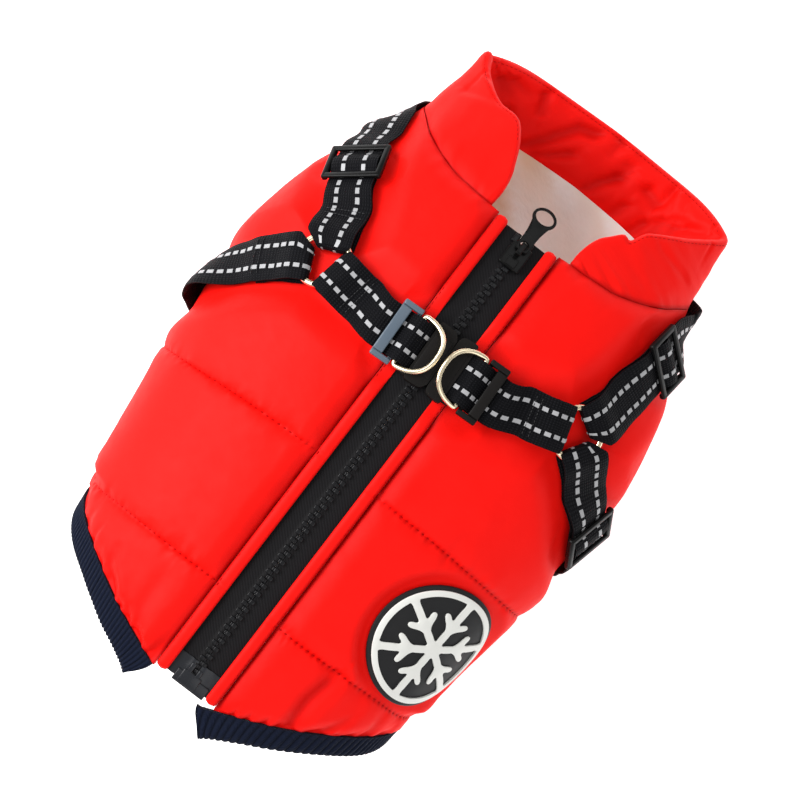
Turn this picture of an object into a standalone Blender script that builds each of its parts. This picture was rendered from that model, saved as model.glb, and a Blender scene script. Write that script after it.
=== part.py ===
"""Quilted dog vest with a stand collar, a zip down the back and a webbing harness over it.

The vest lies on its belly and stays filled out, as when it is worn, with nothing inside.
+Y runs along the back towards the neck, +X to the vest's right as seen from above, +Z up.

The cloth follows one envelope: a flattened tube whose sections come from SECTIONS.
A place on it is an angle around the tube, in degrees (0 at the zip, 90 at the +X side,
180 under the belly, 270 at the -X side), and a distance along it, in millimetres.
Every cloth piece, strap and badge is made from points of that envelope, moved out or in.
"""

import math

import bmesh
import bpy
from mathutils import Matrix, Vector

MM = 0.001
GAP = 0.3

# The whole vest is moved by this much, so that the origin is under the middle of its box.
MOVE_ACROSS = -2.53
MOVE_ALONG = -15.47

# Envelope, in millimetres. Columns: along, half_width, widest_height, crest_height, shift, crease.
# crease 0 is a rounded side, crease 1 a side that is folded sharp.
SECTIONS = (
    (-136.0, 70.0, 34.0, 68.0, 0.0, 0.0),
    (-118.0, 73.0, 34.0, 73.0, 0.0, 0.0),
    (-95.0, 76.5, 35.0, 78.5, 0.0, 0.0),
    (-67.0, 79.0, 35.5, 81.5, 0.0, 0.0),
    (-34.0, 83.0, 36.0, 84.0, 0.0, 0.0),
    (8.0, 90.0, 36.0, 85.5, 0.0, 0.0),
    (32.0, 90.0, 36.0, 84.5, 0.0, 0.0),
    (60.0, 86.0, 35.0, 81.0, 0.3, 0.0),
    (85.0, 79.0, 33.0, 75.0, 0.8, 0.0),
    (104.0, 72.0, 30.5, 68.0, 1.4, 0.0),
    (122.0, 66.0, 28.0, 60.5, 2.2, 0.2),
    (140.0, 61.5, 25.0, 54.0, 3.0, 0.5),
    (165.0, 59.0, 21.0, 47.0, 3.8, 0.7),
)
LOWER_POWER = 0.77
LOWER_REACH = 1.06
LANDING = 0.15
FLOOR_GAP = 2.5

# Edges and stitched lines, as distances along the tube for each angle from the zip.
# Columns: around, hem, low_quilt, high_quilt, neck, collar_top.
EDGES = (
    (8.0, -122.5, -79.0, -14.5, 104.0, 116.0),
    (20.0, -116.5, -79.0, -15.0, 104.0, 119.0),
    (26.0, -113.5, -79.0, -15.3, 104.6, 127.5),
    (34.0, -110.0, -79.0, -15.8, 105.6, 134.0),
    (53.0, -101.0, -79.0, -17.5, 111.5, 142.5),
    (70.0, -93.0, -79.2, -18.4, 117.5, 148.5),
    (90.0, -84.0, -76.0, -18.6, 121.0, 152.5),
    (110.0, -78.0, -69.5, -18.6, 123.5, 155.5),
    (140.0, -70.0, -61.5, -18.6, 128.0, 159.5),
    (180.0, -66.0, -57.5, -18.6, 131.0, 161.5),
)

# Walls: the shell's wall is the quilted cloth with its padding, the lining is fleece.
SHELL_WALL = 2.5
LINING_WALL = 1.5
LINING_GAP = 0.8
COLLAR_WALL = 3.0
PUFF_OF_CHANNEL = (3.6, 4.6, 4.8)
PRESSED_PUFF = 0.4
BELLY_PUFF = 2.5
COLLAR_PUFF = 2.4

# Side seam and armhole. The armhole is an oval notch in the pieces on both sides of the seam.
SIDE_SEAM = 138.0
ARMHOLE_MIDDLE = 72.0
ARMHOLE_HALF_LENGTH = 24.0
ARMHOLE_HALF_ANGLE = 17.0
ARMHOLE_STEPS = 8

# Zip, plackets and hem.
PLACKET_INNER = 9.3
PLACKET_OUTER = 14.5
PLACKET_HEIGHT = 2.8
PANEL_START = PLACKET_OUTER + GAP
PLACKET_LIFT = 0.1
TAPE_OPEN = 1.9
TAPE_OUTER = 14.0
BOX_HALF_WIDTH = 5.2
BOX_LENGTH = 5.0
BOX_HIGH = 1.4
BOX_LOW = -2.2
ZIP_BOTTOM = -122.0
ZIP_TOP = 105.0
SLIDER_AT = 93.0
RIB_WIDTH = 11.5
RIB_HALF_THICKNESS = 1.3

# Harness.
WEBBING = 20.0
WEBBING_THICKNESS = 1.4
WIRE = 1.3
RING_RADIUS = 10.7
LOOP_CLEARANCE = 0.4
LOW_LAYER = 1.8
LAYER_GAP = 0.4
HIGH_LAYER = LOW_LAYER + WEBBING_THICKNESS + LAYER_GAP
RAIL_INNER = 10.6
RAIL_OUTER = 13.0

# Badge.
BADGE_RADIUS = 27.0
BADGE_BED = 2.0
BADGE_THICKNESS = 1.3
RELIEF_HEIGHT = 0.7
RIM_INNER = 22.8
RIM_OUTER = 25.2
ARM_HALF = 1.5
TWIG_AT = 11.5
TWIG_LONG = 6.6
TWIG_HALF = 1.3

COLOURS = {
    # name: (red, green, blue, roughness, metallic)
    "red_nylon": (0.87, 0.015, 0.01, 0.45, 0.0),
    "navy_rib": (0.008, 0.012, 0.035, 0.9, 0.0),
    "cream_fleece": (0.80, 0.74, 0.66, 0.95, 0.0),
    "black_tape": (0.012, 0.012, 0.014, 0.8, 0.0),
    "black_webbing": (0.01, 0.01, 0.012, 0.75, 0.0),
    "black_plastic": (0.015, 0.015, 0.018, 0.35, 0.0),
    "pale_metal": (0.80, 0.72, 0.56, 0.25, 1.0),
    "black_rubber": (0.012, 0.012, 0.013, 0.6, 0.0),
    "white_rubber": (0.82, 0.82, 0.80, 0.55, 0.0),
}


def clear_scene():
    for old in list(bpy.data.objects):
        bpy.data.objects.remove(old, do_unlink=True)


def material(name):
    made = bpy.data.materials.get(name)
    if made is None:
        red, green, blue, roughness, metallic = COLOURS[name]
        made = bpy.data.materials.new(name)
        made.use_nodes = True
        shader = made.node_tree.nodes["Principled BSDF"]
        shader.inputs["Base Color"].default_value = (red, green, blue, 1.0)
        shader.inputs["Roughness"].default_value = roughness
        shader.inputs["Metallic"].default_value = metallic
        made.diffuse_color = (red, green, blue, 1.0)
    return made


def smoothstep(value):
    value = max(0.0, min(1.0, value))
    return value * value * (3.0 - 2.0 * value)


def mix(first, second, share):
    return first + (second - first) * share


def spline_row(table, at):
    """The row of a table at a value of its first column, on a smooth curve through the rows."""
    last = len(table) - 1
    if at <= table[0][0]:
        return table[0][1:]
    if at >= table[last][0]:
        return table[last][1:]
    index = 0
    while table[index + 1][0] < at:
        index += 1
    before = table[max(index - 1, 0)]
    start = table[index]
    end = table[index + 1]
    after = table[min(index + 2, last)]
    span = end[0] - start[0]
    share = (at - start[0]) / span
    values = []
    for column in range(1, len(start)):
        slope_start = (end[column] - before[column]) / (end[0] - before[0])
        slope_end = (after[column] - start[column]) / (after[0] - start[0])
        square = share * share
        cube = square * share
        value = (2.0 * cube - 3.0 * square + 1.0) * start[column]
        value += (cube - 2.0 * square + share) * span * slope_start
        value += (3.0 * square - 2.0 * cube) * end[column]
        value += (cube - square) * span * slope_end
        values.append(value)
    return tuple(values)


def fold_angle(around):
    """The angle from the zip, 0 to 180, whichever side it is on."""
    around = around % 360.0
    return min(around, 360.0 - around)


def edge(around, column):
    names = ("hem", "low_quilt", "high_quilt", "neck", "collar_top")
    return spline_row(EDGES, fold_angle(around))[names.index(column)]


def landing(share):
    """The height above the floor for a share of it, 1 to 0, rounded where it reaches the floor."""
    share = max(share, 0.0)
    if share < LANDING:
        eased = share * share / (2.0 * LANDING)
    else:
        eased = share - 0.5 * LANDING
    return eased / (1.0 - 0.5 * LANDING)


def envelope(around, along):
    """The point of the envelope at an angle and a distance along, in millimetres."""
    half_width, widest, crest, shift, crease = spline_row(SECTIONS, along)
    angle = math.radians(around)
    sine = math.sin(angle)
    cosine = math.cos(angle)
    if cosine >= 0.0:
        across = half_width * sine
        height = widest + (crest - widest) * mix(cosine, cosine * cosine, crease)
    else:
        share = math.copysign(abs(sine) ** LOWER_POWER, sine)
        across = half_width * share
        depth = LOWER_REACH * mix(abs(cosine) ** LOWER_POWER, 1.0 - share * share, crease)
        height = FLOOR_GAP + (widest - FLOOR_GAP) * landing(1.0 - depth)
    return Vector((across + shift, along, height))


def slopes(around, along):
    """How the envelope moves for one degree around and one millimetre along."""
    step_around = 1.5
    step_along = 2.0
    turn = envelope(around + step_around, along) - envelope(around - step_around, along)
    run = envelope(around, along + step_along) - envelope(around, along - step_along)
    return turn / (2.0 * step_around), run / (2.0 * step_along)


def normal(around, along):
    turn, run = slopes(around, along)
    return turn.cross(run).normalized()


def lifted(around, along, height):
    return envelope(around, along) + normal(around, along) * height


def walk(place, across, forward, steps=4):
    """The place reached by going so far across and so far forward over the cloth."""
    around, along = place
    for _ in range(steps):
        turn, run = slopes(around, along)
        sideways = turn.normalized()
        ahead = turn.cross(run).normalized().cross(sideways)
        d_along = (forward / steps) / ahead.dot(run)
        slip = d_along * run.dot(sideways)
        around += (across / steps - slip) / turn.length
        along += d_along
    return around, along


def around_at(across, along):
    """The angle on the upper side where the envelope is this far across."""
    half_width, _, _, shift, _ = spline_row(SECTIONS, along)
    share = max(-1.0, min(1.0, (across - shift) / half_width))
    return math.degrees(math.asin(share))


class Route:
    """A line over the envelope through waypoints (around, along), measured by its length."""

    def __init__(self, waypoints, steps=12):
        rows = [(float(index),) + tuple(point) for index, point in enumerate(waypoints)]
        count = (len(rows) - 1) * steps
        self.places = [spline_row(rows, index / steps) for index in range(count + 1)]
        self.points = [envelope(*place) for place in self.places]
        self.lengths = [0.0]
        for first, second in zip(self.points, self.points[1:]):
            self.lengths.append(self.lengths[-1] + (second - first).length)
        self.length = self.lengths[-1]
        self.flats = []

    def place(self, distance):
        last = len(self.places) - 2
        index = 0
        while index < last and self.lengths[index + 1] < distance:
            index += 1
        span = self.lengths[index + 1] - self.lengths[index]
        share = (distance - self.lengths[index]) / span
        start = self.places[index]
        end = self.places[index + 1]
        return mix(start[0], end[0], share), mix(start[1], end[1], share)

    def distance_to(self, across):
        """The distance along the route where it is this far across."""
        rows = range(len(self.points))
        nearest = min(rows, key=lambda row: abs(self.points[row].x - across))
        return self.lengths[nearest]

    def frame(self, distance):
        """Axes at a distance: along the route, across it, and out of the cloth."""
        around, along = self.place(distance)
        back = envelope(*self.place(distance - 2.0))
        ahead = envelope(*self.place(distance + 2.0))
        outward = normal(around, along)
        forward = (ahead - back).normalized()
        sideways = outward.cross(forward).normalized()
        forward = sideways.cross(outward).normalized()
        return envelope(around, along), forward, sideways, outward

    def add_flat(self, start, end, at, fade=8.0):
        """Between two distances the strap lies in the plane that touches the cloth at one."""
        self.flats.append((start, end, at, fade, self.frame(at)))

    def on_cloth(self, distance, side, height):
        around, along = self.place(distance)
        _, _, sideways, _ = self.frame(distance)
        turn, run = slopes(around, along)
        turn_square = turn.dot(turn)
        run_square = run.dot(run)
        cross = turn.dot(run)
        turn_share = turn.dot(sideways)
        run_share = run.dot(sideways)
        divisor = turn_square * run_square - cross * cross
        d_around = (turn_share * run_square - run_share * cross) / divisor
        d_along = (run_share * turn_square - turn_share * cross) / divisor
        return lifted(around + d_around * side, along + d_along * side, height)

    def point(self, distance, side, height):
        """A point at a distance along the route, beside it and above the cloth."""
        result = None
        for start, end, at, fade, (centre, forward, sideways, outward) in self.flats:
            outside = max(start - distance, distance - end, 0.0)
            share = 1.0 - smoothstep(outside / fade)
            if share > 0.0:
                flat = centre + forward * (distance - at) + sideways * side + outward * height
                if share >= 1.0:
                    return flat
                result = mix(self.on_cloth(distance, side, height), flat, share)
        if result is None:
            result = self.on_cloth(distance, side, height)
        return result

    def matrix(self, distance, height=0.0):
        """The placing of a rigid piece at a distance along the route."""
        centre, forward, sideways, outward = self.frame(distance)
        for start, end, at, _, (middle, ahead, beside, up) in self.flats:
            if start <= distance <= end:
                centre = middle + ahead * (distance - at)
                forward, sideways, outward = ahead, beside, up
        centre = centre + outward * height
        return axes_matrix(centre, forward, sideways, outward)


def axes_matrix(centre, first, second, third):
    centre = (centre + Vector((MOVE_ACROSS, MOVE_ALONG, 0.0))) * MM
    columns = Matrix((first, second, third)).transposed()
    result = columns.to_4x4()
    result.translation = centre
    return result


def in_world(point):
    return Vector((point.x + MOVE_ACROSS, point.y + MOVE_ALONG, point.z)) * MM


def add_object(name, bm, colour, smooth_angle=40.0, matrix=None):
    """Make a bmesh into an object with a material, its faces pointing out."""
    bmesh.ops.recalc_face_normals(bm, faces=bm.faces[:])
    mesh = bpy.data.meshes.new(name)
    bm.to_mesh(mesh)
    bm.free()
    mesh.materials.append(material(colour))
    mesh.shade_smooth()
    mesh.set_sharp_from_angle(angle=math.radians(smooth_angle))
    made = bpy.data.objects.new(name, mesh)
    if matrix is not None:
        made.matrix_world = matrix
    bpy.context.collection.objects.link(made)
    return made


def wall_from_patches(name, patches, colour):
    """A closed wall from patches, each an outer and an inner grid of points.

    Patches join where their outer points are the same, and every open side gets a rim.
    """
    bm = bmesh.new()
    made = {}
    rim = {}

    def corner(outer, inner):
        key = tuple(round(value, 3) for value in outer)
        if key not in made:
            made[key] = (bm.verts.new(in_world(outer)), bm.verts.new(in_world(inner)))
        return made[key]

    for outer, inner in patches:
        grid = [[corner(*points) for points in zip(*rows)] for rows in zip(outer, inner)]
        for low_row, high_row in zip(grid, grid[1:]):
            for column in range(len(low_row) - 1):
                quad = [low_row[column], low_row[column + 1], high_row[column + 1], high_row[column]]
                quad = [item for index, item in enumerate(quad) if item is not quad[index - 1]]
                bm.faces.new([top for top, _ in quad])
                bm.faces.new([low for _, low in reversed(quad)])
                for first, second in zip(quad, quad[1:] + quad[:1]):
                    if rim.pop((id(second), id(first)), None) is None:
                        rim[(id(first), id(second))] = (first, second)
    for first, second in rim.values():
        bm.faces.new((first[0], first[1], second[1], second[0]))
    return add_object(name, bm, colour)


def wall_from_grids(name, outer, inner, colour):
    """A closed wall between two grids of points with the same rows and columns."""
    return wall_from_patches(name, [(outer, inner)], colour)


def close_end(bm, ring):
    """Close the end of a tube with faces across it, from one side of the ring to the other."""
    low = 0
    high = len(ring) - 1
    while high - low > 1:
        if high - low == 2:
            bm.faces.new((ring[low], ring[low + 1], ring[high]))
        else:
            bm.faces.new((ring[low], ring[low + 1], ring[high - 1], ring[high]))
        low += 1
        high -= 1


def tube_from_rings(name, rings, colour, closed=False, smooth_angle=60.0, matrix=None, scale=None):
    """A closed solid skinned over rings of points, its ends capped unless it runs round."""
    bm = bmesh.new()
    if scale is None:
        made = [[bm.verts.new(in_world(point)) for point in ring] for ring in rings]
    else:
        made = [[bm.verts.new(point * scale) for point in ring] for ring in rings]
    pairs = list(zip(made, made[1:]))
    if closed:
        pairs.append((made[-1], made[0]))
    count = len(made[0])
    for first, second in pairs:
        for index in range(count):
            after = (index + 1) % count
            bm.faces.new((first[index], first[after], second[after], second[index]))
    if not closed:
        close_end(bm, made[0])
        close_end(bm, made[-1])
    return add_object(name, bm, colour, smooth_angle, matrix)


# Harness routes. Each runs over the cloth from a ring; the waypoints are (around, along).

RING_LEFT_PLACE = (around_at(-56.6, 45.8), 45.8)
RING_RIGHT_PLACE = (around_at(60.9, 52.0), 52.0)


def neck_route():
    """From the left ring, round the base of the neck under the throat, to the right ring."""
    return Route((
        RING_LEFT_PLACE,
        (-47.0, 66.0),
        (-63.0, 86.0),
        (-82.0, 105.0),
        (-105.0, 113.5),
        (-140.0, 116.0),
        (-180.0, 117.0),
        (-220.0, 116.0),
        (-255.0, 113.5),
        (-278.0, 106.0),
        (-294.0, 93.0),
        (-305.0, 74.0),
        (RING_RIGHT_PLACE[0] - 360.0, RING_RIGHT_PLACE[1]),
    ))


def girth_route():
    """From the left ring, round the belly behind the armholes, to the right ring."""
    return Route((
        RING_LEFT_PLACE,
        (-55.0, 34.5),
        (-76.0, 19.0),
        (-98.0, 9.0),
        (-140.0, 5.0),
        (-180.0, 6.0),
        (-220.0, 7.5),
        (-256.0, 12.0),
        (-277.0, 19.0),
        (-297.0, 33.0),
        (RING_RIGHT_PLACE[0] - 360.0, RING_RIGHT_PLACE[1]),
    ))


def cross_route():
    """Straight across the back, from the left ring through the buckle to the right ring."""
    return Route((
        RING_LEFT_PLACE,
        (around_at(-38.0, 43.2), 43.2),
        (around_at(-16.0, 41.8), 41.8),
        (around_at(2.5, 41.7), 41.7),
        (around_at(22.0, 43.2), 43.2),
        (around_at(41.0, 47.0), 47.0),
        RING_RIGHT_PLACE,
    ))


NECK = neck_route()
GIRTH = girth_route()
CROSS = cross_route()
BUCKLE_AT = CROSS.distance_to(2.5)
BADGE_CENTRE = (around_at(66.5, -49.0), -49.0)

# Distances from a ring to the tri-glide on each strap.
GLIDE_NECK_LEFT = 44.5
GLIDE_NECK_RIGHT = NECK.length - 51.0
GLIDE_GIRTH_RIGHT = GIRTH.length - 46.0

RING_FLAT = 15.0
PAST_RING = 30.0
GLIDE_FLAT = 10.5
BUCKLE_FLAT = 27.0
for route in (NECK, GIRTH, CROSS):
    route.add_flat(-PAST_RING, RING_FLAT, 0.0)
    route.add_flat(route.length - RING_FLAT, route.length + PAST_RING, route.length)
for route, middle in ((NECK, GLIDE_NECK_LEFT), (NECK, GLIDE_NECK_RIGHT), (GIRTH, GLIDE_GIRTH_RIGHT)):
    route.add_flat(middle - GLIDE_FLAT, middle + GLIDE_FLAT, middle)
CROSS.add_flat(BUCKLE_AT - BUCKLE_FLAT, BUCKLE_AT + BUCKLE_FLAT, BUCKLE_AT, fade=6.0)

# Where the harness presses the padding flat: (point, reach).
STRAP_REACH = 14.0
BUCKLE_REACH = 17.0
GLIDE_REACH = 15.5
SHOULDER = 9.0
BUCKLE_SPOTS = (-16.0, -8.0, 0.0, 8.0, 16.0)
PRESSES = [(point, STRAP_REACH) for route in (NECK, GIRTH, CROSS) for point in route.points]
PRESSES += [(CROSS.frame(BUCKLE_AT + spot)[0], BUCKLE_REACH) for spot in BUCKLE_SPOTS]
PRESSES += [
    (NECK.frame(GLIDE_NECK_LEFT)[0], GLIDE_REACH),
    (NECK.frame(GLIDE_NECK_RIGHT)[0], GLIDE_REACH),
    (GIRTH.frame(GLIDE_GIRTH_RIGHT)[0], GLIDE_REACH),
]
BADGE_POINT = envelope(*BADGE_CENTRE)


def pressed(point, puff):
    """The height of the padding at a point, flattened under straps and under the badge."""
    share = 1.0
    for place, reach in PRESSES:
        away = (place - point).length
        if away < reach + SHOULDER:
            share = min(share, smoothstep((away - reach) / SHOULDER))
    puff = mix(min(PRESSED_PUFF, puff), puff, share)
    away = (BADGE_POINT - point).length
    share = smoothstep((away - BADGE_RADIUS - 1.5) / 7.0)
    return mix(BADGE_BED, puff, share)


def quilting(around, along):
    """The height of the padding between the stitched lines, before anything presses on it."""
    lines = [edge(around, name) for name in ("hem", "low_quilt", "high_quilt", "neck")]
    puff = 0.0
    for channel, (low, high) in enumerate(zip(lines, lines[1:])):
        if low <= along <= high:
            share = (along - low) / (high - low)
            puff = PUFF_OF_CHANNEL[channel] * math.sin(math.pi * share) ** 0.5
            width = high - low
            if width < 20.0:
                puff *= width / 20.0
    return puff


def gathers(around, along):
    """Small pleats that fan out from the hem seam, where the cloth is drawn in to the rib."""
    hem = edge(around, "hem")
    away = (along - hem) / 26.0
    if away < 0.0 or away > 1.0:
        return 0.0
    wave = math.sin(math.radians(around * 13.0)) + 0.5 * math.sin(math.radians(around * 7.0 + 40.0))
    return 0.9 * wave * math.sin(math.pi * min(1.0, away * 1.4 + 0.12)) ** 2


def shell_height(around, along, seam_distance):
    point = envelope(around, along)
    puff = quilting(around, along) * smoothstep(0.35 + seam_distance / 12.0)
    if fold_angle(around) > 90.0:
        flatten = smoothstep((fold_angle(around) - 90.0) / 50.0)
        puff = mix(puff, min(puff, BELLY_PUFF), flatten)
    puff = max(puff + gathers(around, along), PRESSED_PUFF)
    return pressed(point, puff)


def rows_between(crowded, counts):
    """Rows as (index of the stretch, share of it), closer at both ends of the crowded ones."""
    rows = [(0, 0.0)]
    for stretch, count in enumerate(counts):
        for step in range(1, count + 1):
            share = step / count
            if stretch in crowded:
                share = 0.5 - 0.5 * math.cos(math.pi * share)
            rows.append((stretch, share))
    return rows


def notch(along):
    """How far the armhole cuts back each side of the seam, in degrees."""
    share = (along - ARMHOLE_MIDDLE) / ARMHOLE_HALF_LENGTH
    if abs(share) >= 1.0:
        return 0.0
    return ARMHOLE_HALF_ANGLE * math.sqrt(1.0 - share * share)


def along_of(around, lines, row):
    stretch, share = row
    marks = [edge(around, line) if isinstance(line, str) else line for line in lines]
    return mix(marks[stretch], marks[stretch + 1], share)


ARM_LOW = ARMHOLE_MIDDLE - ARMHOLE_HALF_LENGTH
ARM_HIGH = ARMHOLE_MIDDLE + ARMHOLE_HALF_LENGTH


def side_grid(side, lines, rows, columns, start_across, hem_inset=0.0, neck_inset=0.0, seam=0.3):
    """Places (around, along, distance to the seam) of a piece from the zip to the side seam."""
    grid = []
    for row in rows:
        line = []
        for column in range(columns + 1):
            share = column / columns
            around = mix(12.0, SIDE_SEAM, share)
            for _ in range(4):
                along = along_of(around, lines, row)
                if row == rows[0]:
                    along += hem_inset
                if row == rows[-1]:
                    along -= neck_inset
                start = abs(around_at(side * start_across, along))
                end = SIDE_SEAM - notch(along) - seam
                around = mix(start, end, share)
            from_seam = min(share, 1.0 - share) * 150.0
            line.append((around * side, along, from_seam))
        grid.append(line)
    return grid


def on_floor(point):
    """A point no lower than the surface that the vest lies on."""
    point.z = max(point.z, 0.0)
    return point


def shell_panel(name, grid):
    outer = []
    inner = []
    for row in grid:
        outer.append([on_floor(lifted(a, y, shell_height(a, y, seam))) for a, y, seam in row])
        inner.append([lifted(a, y, -SHELL_WALL) for a, y, seam in row])
    return wall_from_grids(name, outer, inner, "red_nylon")


def build_back_panels():
    lines = ("hem", "low_quilt", "high_quilt", ARM_LOW, ARM_HIGH, "neck")
    rows = rows_between((0, 1, 3), (5, 6, 6, ARMHOLE_STEPS, 2))
    for name, side in (("back_left", -1.0), ("back_right", 1.0)):
        grid = side_grid(side, lines, rows, 17, PANEL_START, neck_inset=GAP)
        shell_panel(name, grid)


def belly_grid(rows, lines, columns, hem_inset, neck_inset, seam=0.3):
    grid = []
    for row in rows:
        line = []
        for column in range(columns + 1):
            share = column / columns
            around = 180.0
            for _ in range(4):
                along = along_of(around, lines, row)
                if row == rows[0]:
                    along += hem_inset
                if row == rows[-1]:
                    along -= neck_inset
                start = SIDE_SEAM + notch(along) + seam
                around = mix(start, 360.0 - start, share)
            from_seam = min(share, 1.0 - share) * 120.0
            line.append((around, along, from_seam))
        grid.append(line)
    return grid


def build_belly():
    lines = ("hem", "high_quilt", ARM_LOW, ARM_HIGH, "neck")
    rows = rows_between((2,), (3, 4, ARMHOLE_STEPS, 3))
    shell_panel("belly", belly_grid(rows, lines, 10, 0.0, GAP))


def build_lining():
    """One fleece lining, from one side of the zip round to the other, with two armholes."""
    lines = ("hem", "high_quilt", ARM_LOW, ARM_HIGH, "neck")
    rows = rows_between((2,), (3, 3, ARMHOLE_STEPS, 2))
    left = side_grid(-1.0, lines, rows, 7, 12.5, 2.0, 1.0, seam=0.0)
    right = side_grid(1.0, lines, rows, 7, 12.5, 2.0, 1.0, seam=0.0)
    belly = belly_grid(rows, lines, 6, 2.0, 1.0, seam=0.0)
    high = -(SHELL_WALL + LINING_GAP)
    low = high - LINING_WALL
    patches = []
    for grid in ([list(reversed(row)) for row in left], right, belly):
        outer = [[lifted(a, y, high) for a, y, _ in row] for row in grid]
        inner = [[lifted(a, y, low) for a, y, _ in row] for row in grid]
        patches.append((outer, inner))
    wall_from_patches("lining", patches, "cream_fleece")


def collar_places():
    """Angles around the collar, from its left end at the zip, under the throat, to its right."""
    half = (19.5, 20.5, 22.5, 25.5, 29.5, 35.0, 43.0, 53.0, 64.0, 75.0, 84.0, 90.0, 96.0, 105.0)
    half += (118.0, 132.0, 148.0, 164.0)
    return [-angle for angle in half] + [-180.0] + [angle - 360.0 for angle in reversed(half)]


def collar_grid():
    grid = []
    steps = 7
    for step in range(steps + 1):
        share = step / steps
        line = []
        for around in collar_places():
            low = edge(around, "neck")
            high = edge(around, "collar_top")
            line.append((around, mix(low, high, share), share))
        grid.append(line)
    return grid


def build_collar():
    outer = []
    inner = []
    for row in collar_grid():
        outer_row = []
        inner_row = []
        for around, along, share in row:
            puff = COLLAR_PUFF * math.sin(math.pi * min(1.0, share * 0.92 + 0.04)) ** 0.6
            close = (fold_angle(around) - 19.5) / 6.0
            puff *= smoothstep(0.3 + close)
            point = envelope(around, along)
            if share < 0.5:
                puff = pressed(point, puff)
            taper = 1.0 - 0.75 * smoothstep((share - 0.82) / 0.18)
            taper = min(taper, mix(0.45, 1.0, smoothstep(close * 1.5)))
            depth = COLLAR_WALL * taper
            fold = math.exp(-((fold_angle(around) - 90.0) / 14.0) ** 2)
            depth *= 1.0 - 0.6 * fold * share
            if fold_angle(around) > 100.0:
                puff = min(puff, FLOOR_GAP)
            outer_row.append(on_floor(lifted(around, along, max(puff, 0.2))))
            inner_row.append(lifted(around, along, -depth))
        outer.append(outer_row)
        inner.append(inner_row)
    wall_from_grids("collar", outer, inner, "red_nylon")


def zip_stations(start, end, count):
    return [mix(start, end, index / count) for index in range(count + 1)]


def build_zip_tape():
    """The closed zip: two tapes that part above the slider, and the box at their lower end."""
    tape_high = -0.2
    tape_low = -1.0
    closed = zip_stations(ZIP_BOTTOM, SLIDER_AT, 20)
    stations = closed + zip_stations(SLIDER_AT + 3.0, ZIP_TOP, 3)
    patches = []
    for side in (-1.0, 1.0):
        outer = []
        inner = []
        for along in stations:
            opening = TAPE_OPEN * smoothstep((along - SLIDER_AT) / 3.0)
            marks = (opening, max(BOX_HALF_WIDTH, opening), TAPE_OUTER)
            marks = [side * mark for mark in marks]
            if side < 0.0:
                marks.reverse()
            outer.append([lifted(around_at(mark, along), along, tape_high) for mark in marks])
            inner.append([lifted(around_at(mark, along), along, tape_low) for mark in marks])
        patches.append((outer, inner))
    outer = []
    inner = []
    for along, high, low in (
        (ZIP_BOTTOM - BOX_LENGTH, BOX_HIGH - 0.8, BOX_LOW + 0.6),
        (ZIP_BOTTOM - BOX_LENGTH + 0.8, BOX_HIGH, BOX_LOW),
        (ZIP_BOTTOM - 0.9, BOX_HIGH, BOX_LOW),
        (ZIP_BOTTOM, tape_high, tape_low),
    ):
        marks = (-BOX_HALF_WIDTH, 0.0, BOX_HALF_WIDTH)
        outer.append([lifted(around_at(mark, along), along, high) for mark in marks])
        inner.append([lifted(around_at(mark, along), along, low) for mark in marks])
    patches.append((outer, inner))
    wall_from_patches("zip_tape", patches, "black_tape")


def build_plackets():
    """A folded welt on each side of the zip, lower where the harness lies on it."""
    profile = ((0.0, 0.0), (1.0, 0.0), (1.0, 0.35), (0.8, 0.8), (0.45, 1.0), (0.12, 0.75), (0.0, 0.35))
    for name, side in (("placket_left", -1.0), ("placket_right", 1.0)):
        inner = PLACKET_INNER * side
        span = (PLACKET_OUTER - PLACKET_INNER) * side
        rings = []
        for along in zip_stations(ZIP_BOTTOM + 2.0, ZIP_TOP - 1.0, 26):
            middle = envelope(around_at(inner + 0.5 * span, along), along)
            tall = pressed(middle, PLACKET_HEIGHT)
            ring = []
            for share, high in profile:
                around = around_at(inner + share * span, along)
                ring.append(lifted(around, along, PLACKET_LIFT + high * tall))
            rings.append(ring)
        tube_from_rings(name, rings, "red_nylon")


def build_hem_rib():
    """One knitted band round the hem, from one side of the zip to the other."""
    start = 12.5
    angles = [start + 0.4, start + 1.2, start + 3.0]
    angles += [mix(start + 7.0, 180.0, index / 20) for index in range(20)]
    places = [-angle for angle in angles] + [-180.0] + [angle - 360.0 for angle in reversed(angles)]
    half = RIB_HALF_THICKNESS
    rings = []
    for around in places:
        hem = edge(around, "hem") - GAP
        close = min(1.0, (fold_angle(around) - start) / 3.0)
        width = RIB_WIDTH * math.sqrt(1.0 - 0.75 * (1.0 - close) ** 2)
        ring = []
        for away, height in ((0.0, -half), (0.0, half), (0.45, half), (0.88, 0.75 * half),
                             (1.0, 0.0), (0.88, -0.75 * half), (0.45, -half)):
            ring.append(on_floor(lifted(around, hem - width * away, height)))
        rings.append(ring)
    tube_from_rings("hem_rib", rings, "navy_rib")


def build_armholes():
    """A bound edge inside each armhole, parallel to the notches of the panels."""
    steps = 2 * ARMHOLE_STEPS
    inset = 0.5
    width = 4.2
    profile = ((0.0, 0.9), (0.0, -3.6), (0.6, -3.6), (1.0, -2.0), (1.0, -0.4), (0.6, 0.9))
    for name, side in (("armhole_rib_left", -1.0), ("armhole_rib_right", 1.0)):
        rings = []
        for step in range(steps):
            turn = 2.0 * math.pi * step / steps
            ring = []
            for away, height in profile:
                reach = inset + width * away
                long_share = 1.0 - reach / ARMHOLE_HALF_LENGTH
                around_share = 1.0 - reach / (ARMHOLE_HALF_ANGLE * 1.18)
                along = ARMHOLE_MIDDLE + ARMHOLE_HALF_LENGTH * long_share * math.cos(turn)
                around = SIDE_SEAM + ARMHOLE_HALF_ANGLE * around_share * math.sin(turn)
                ring.append(on_floor(lifted(around * side, along, height)))
            rings.append(ring)
        tube_from_rings(name, rings, "navy_rib", closed=True)


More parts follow.
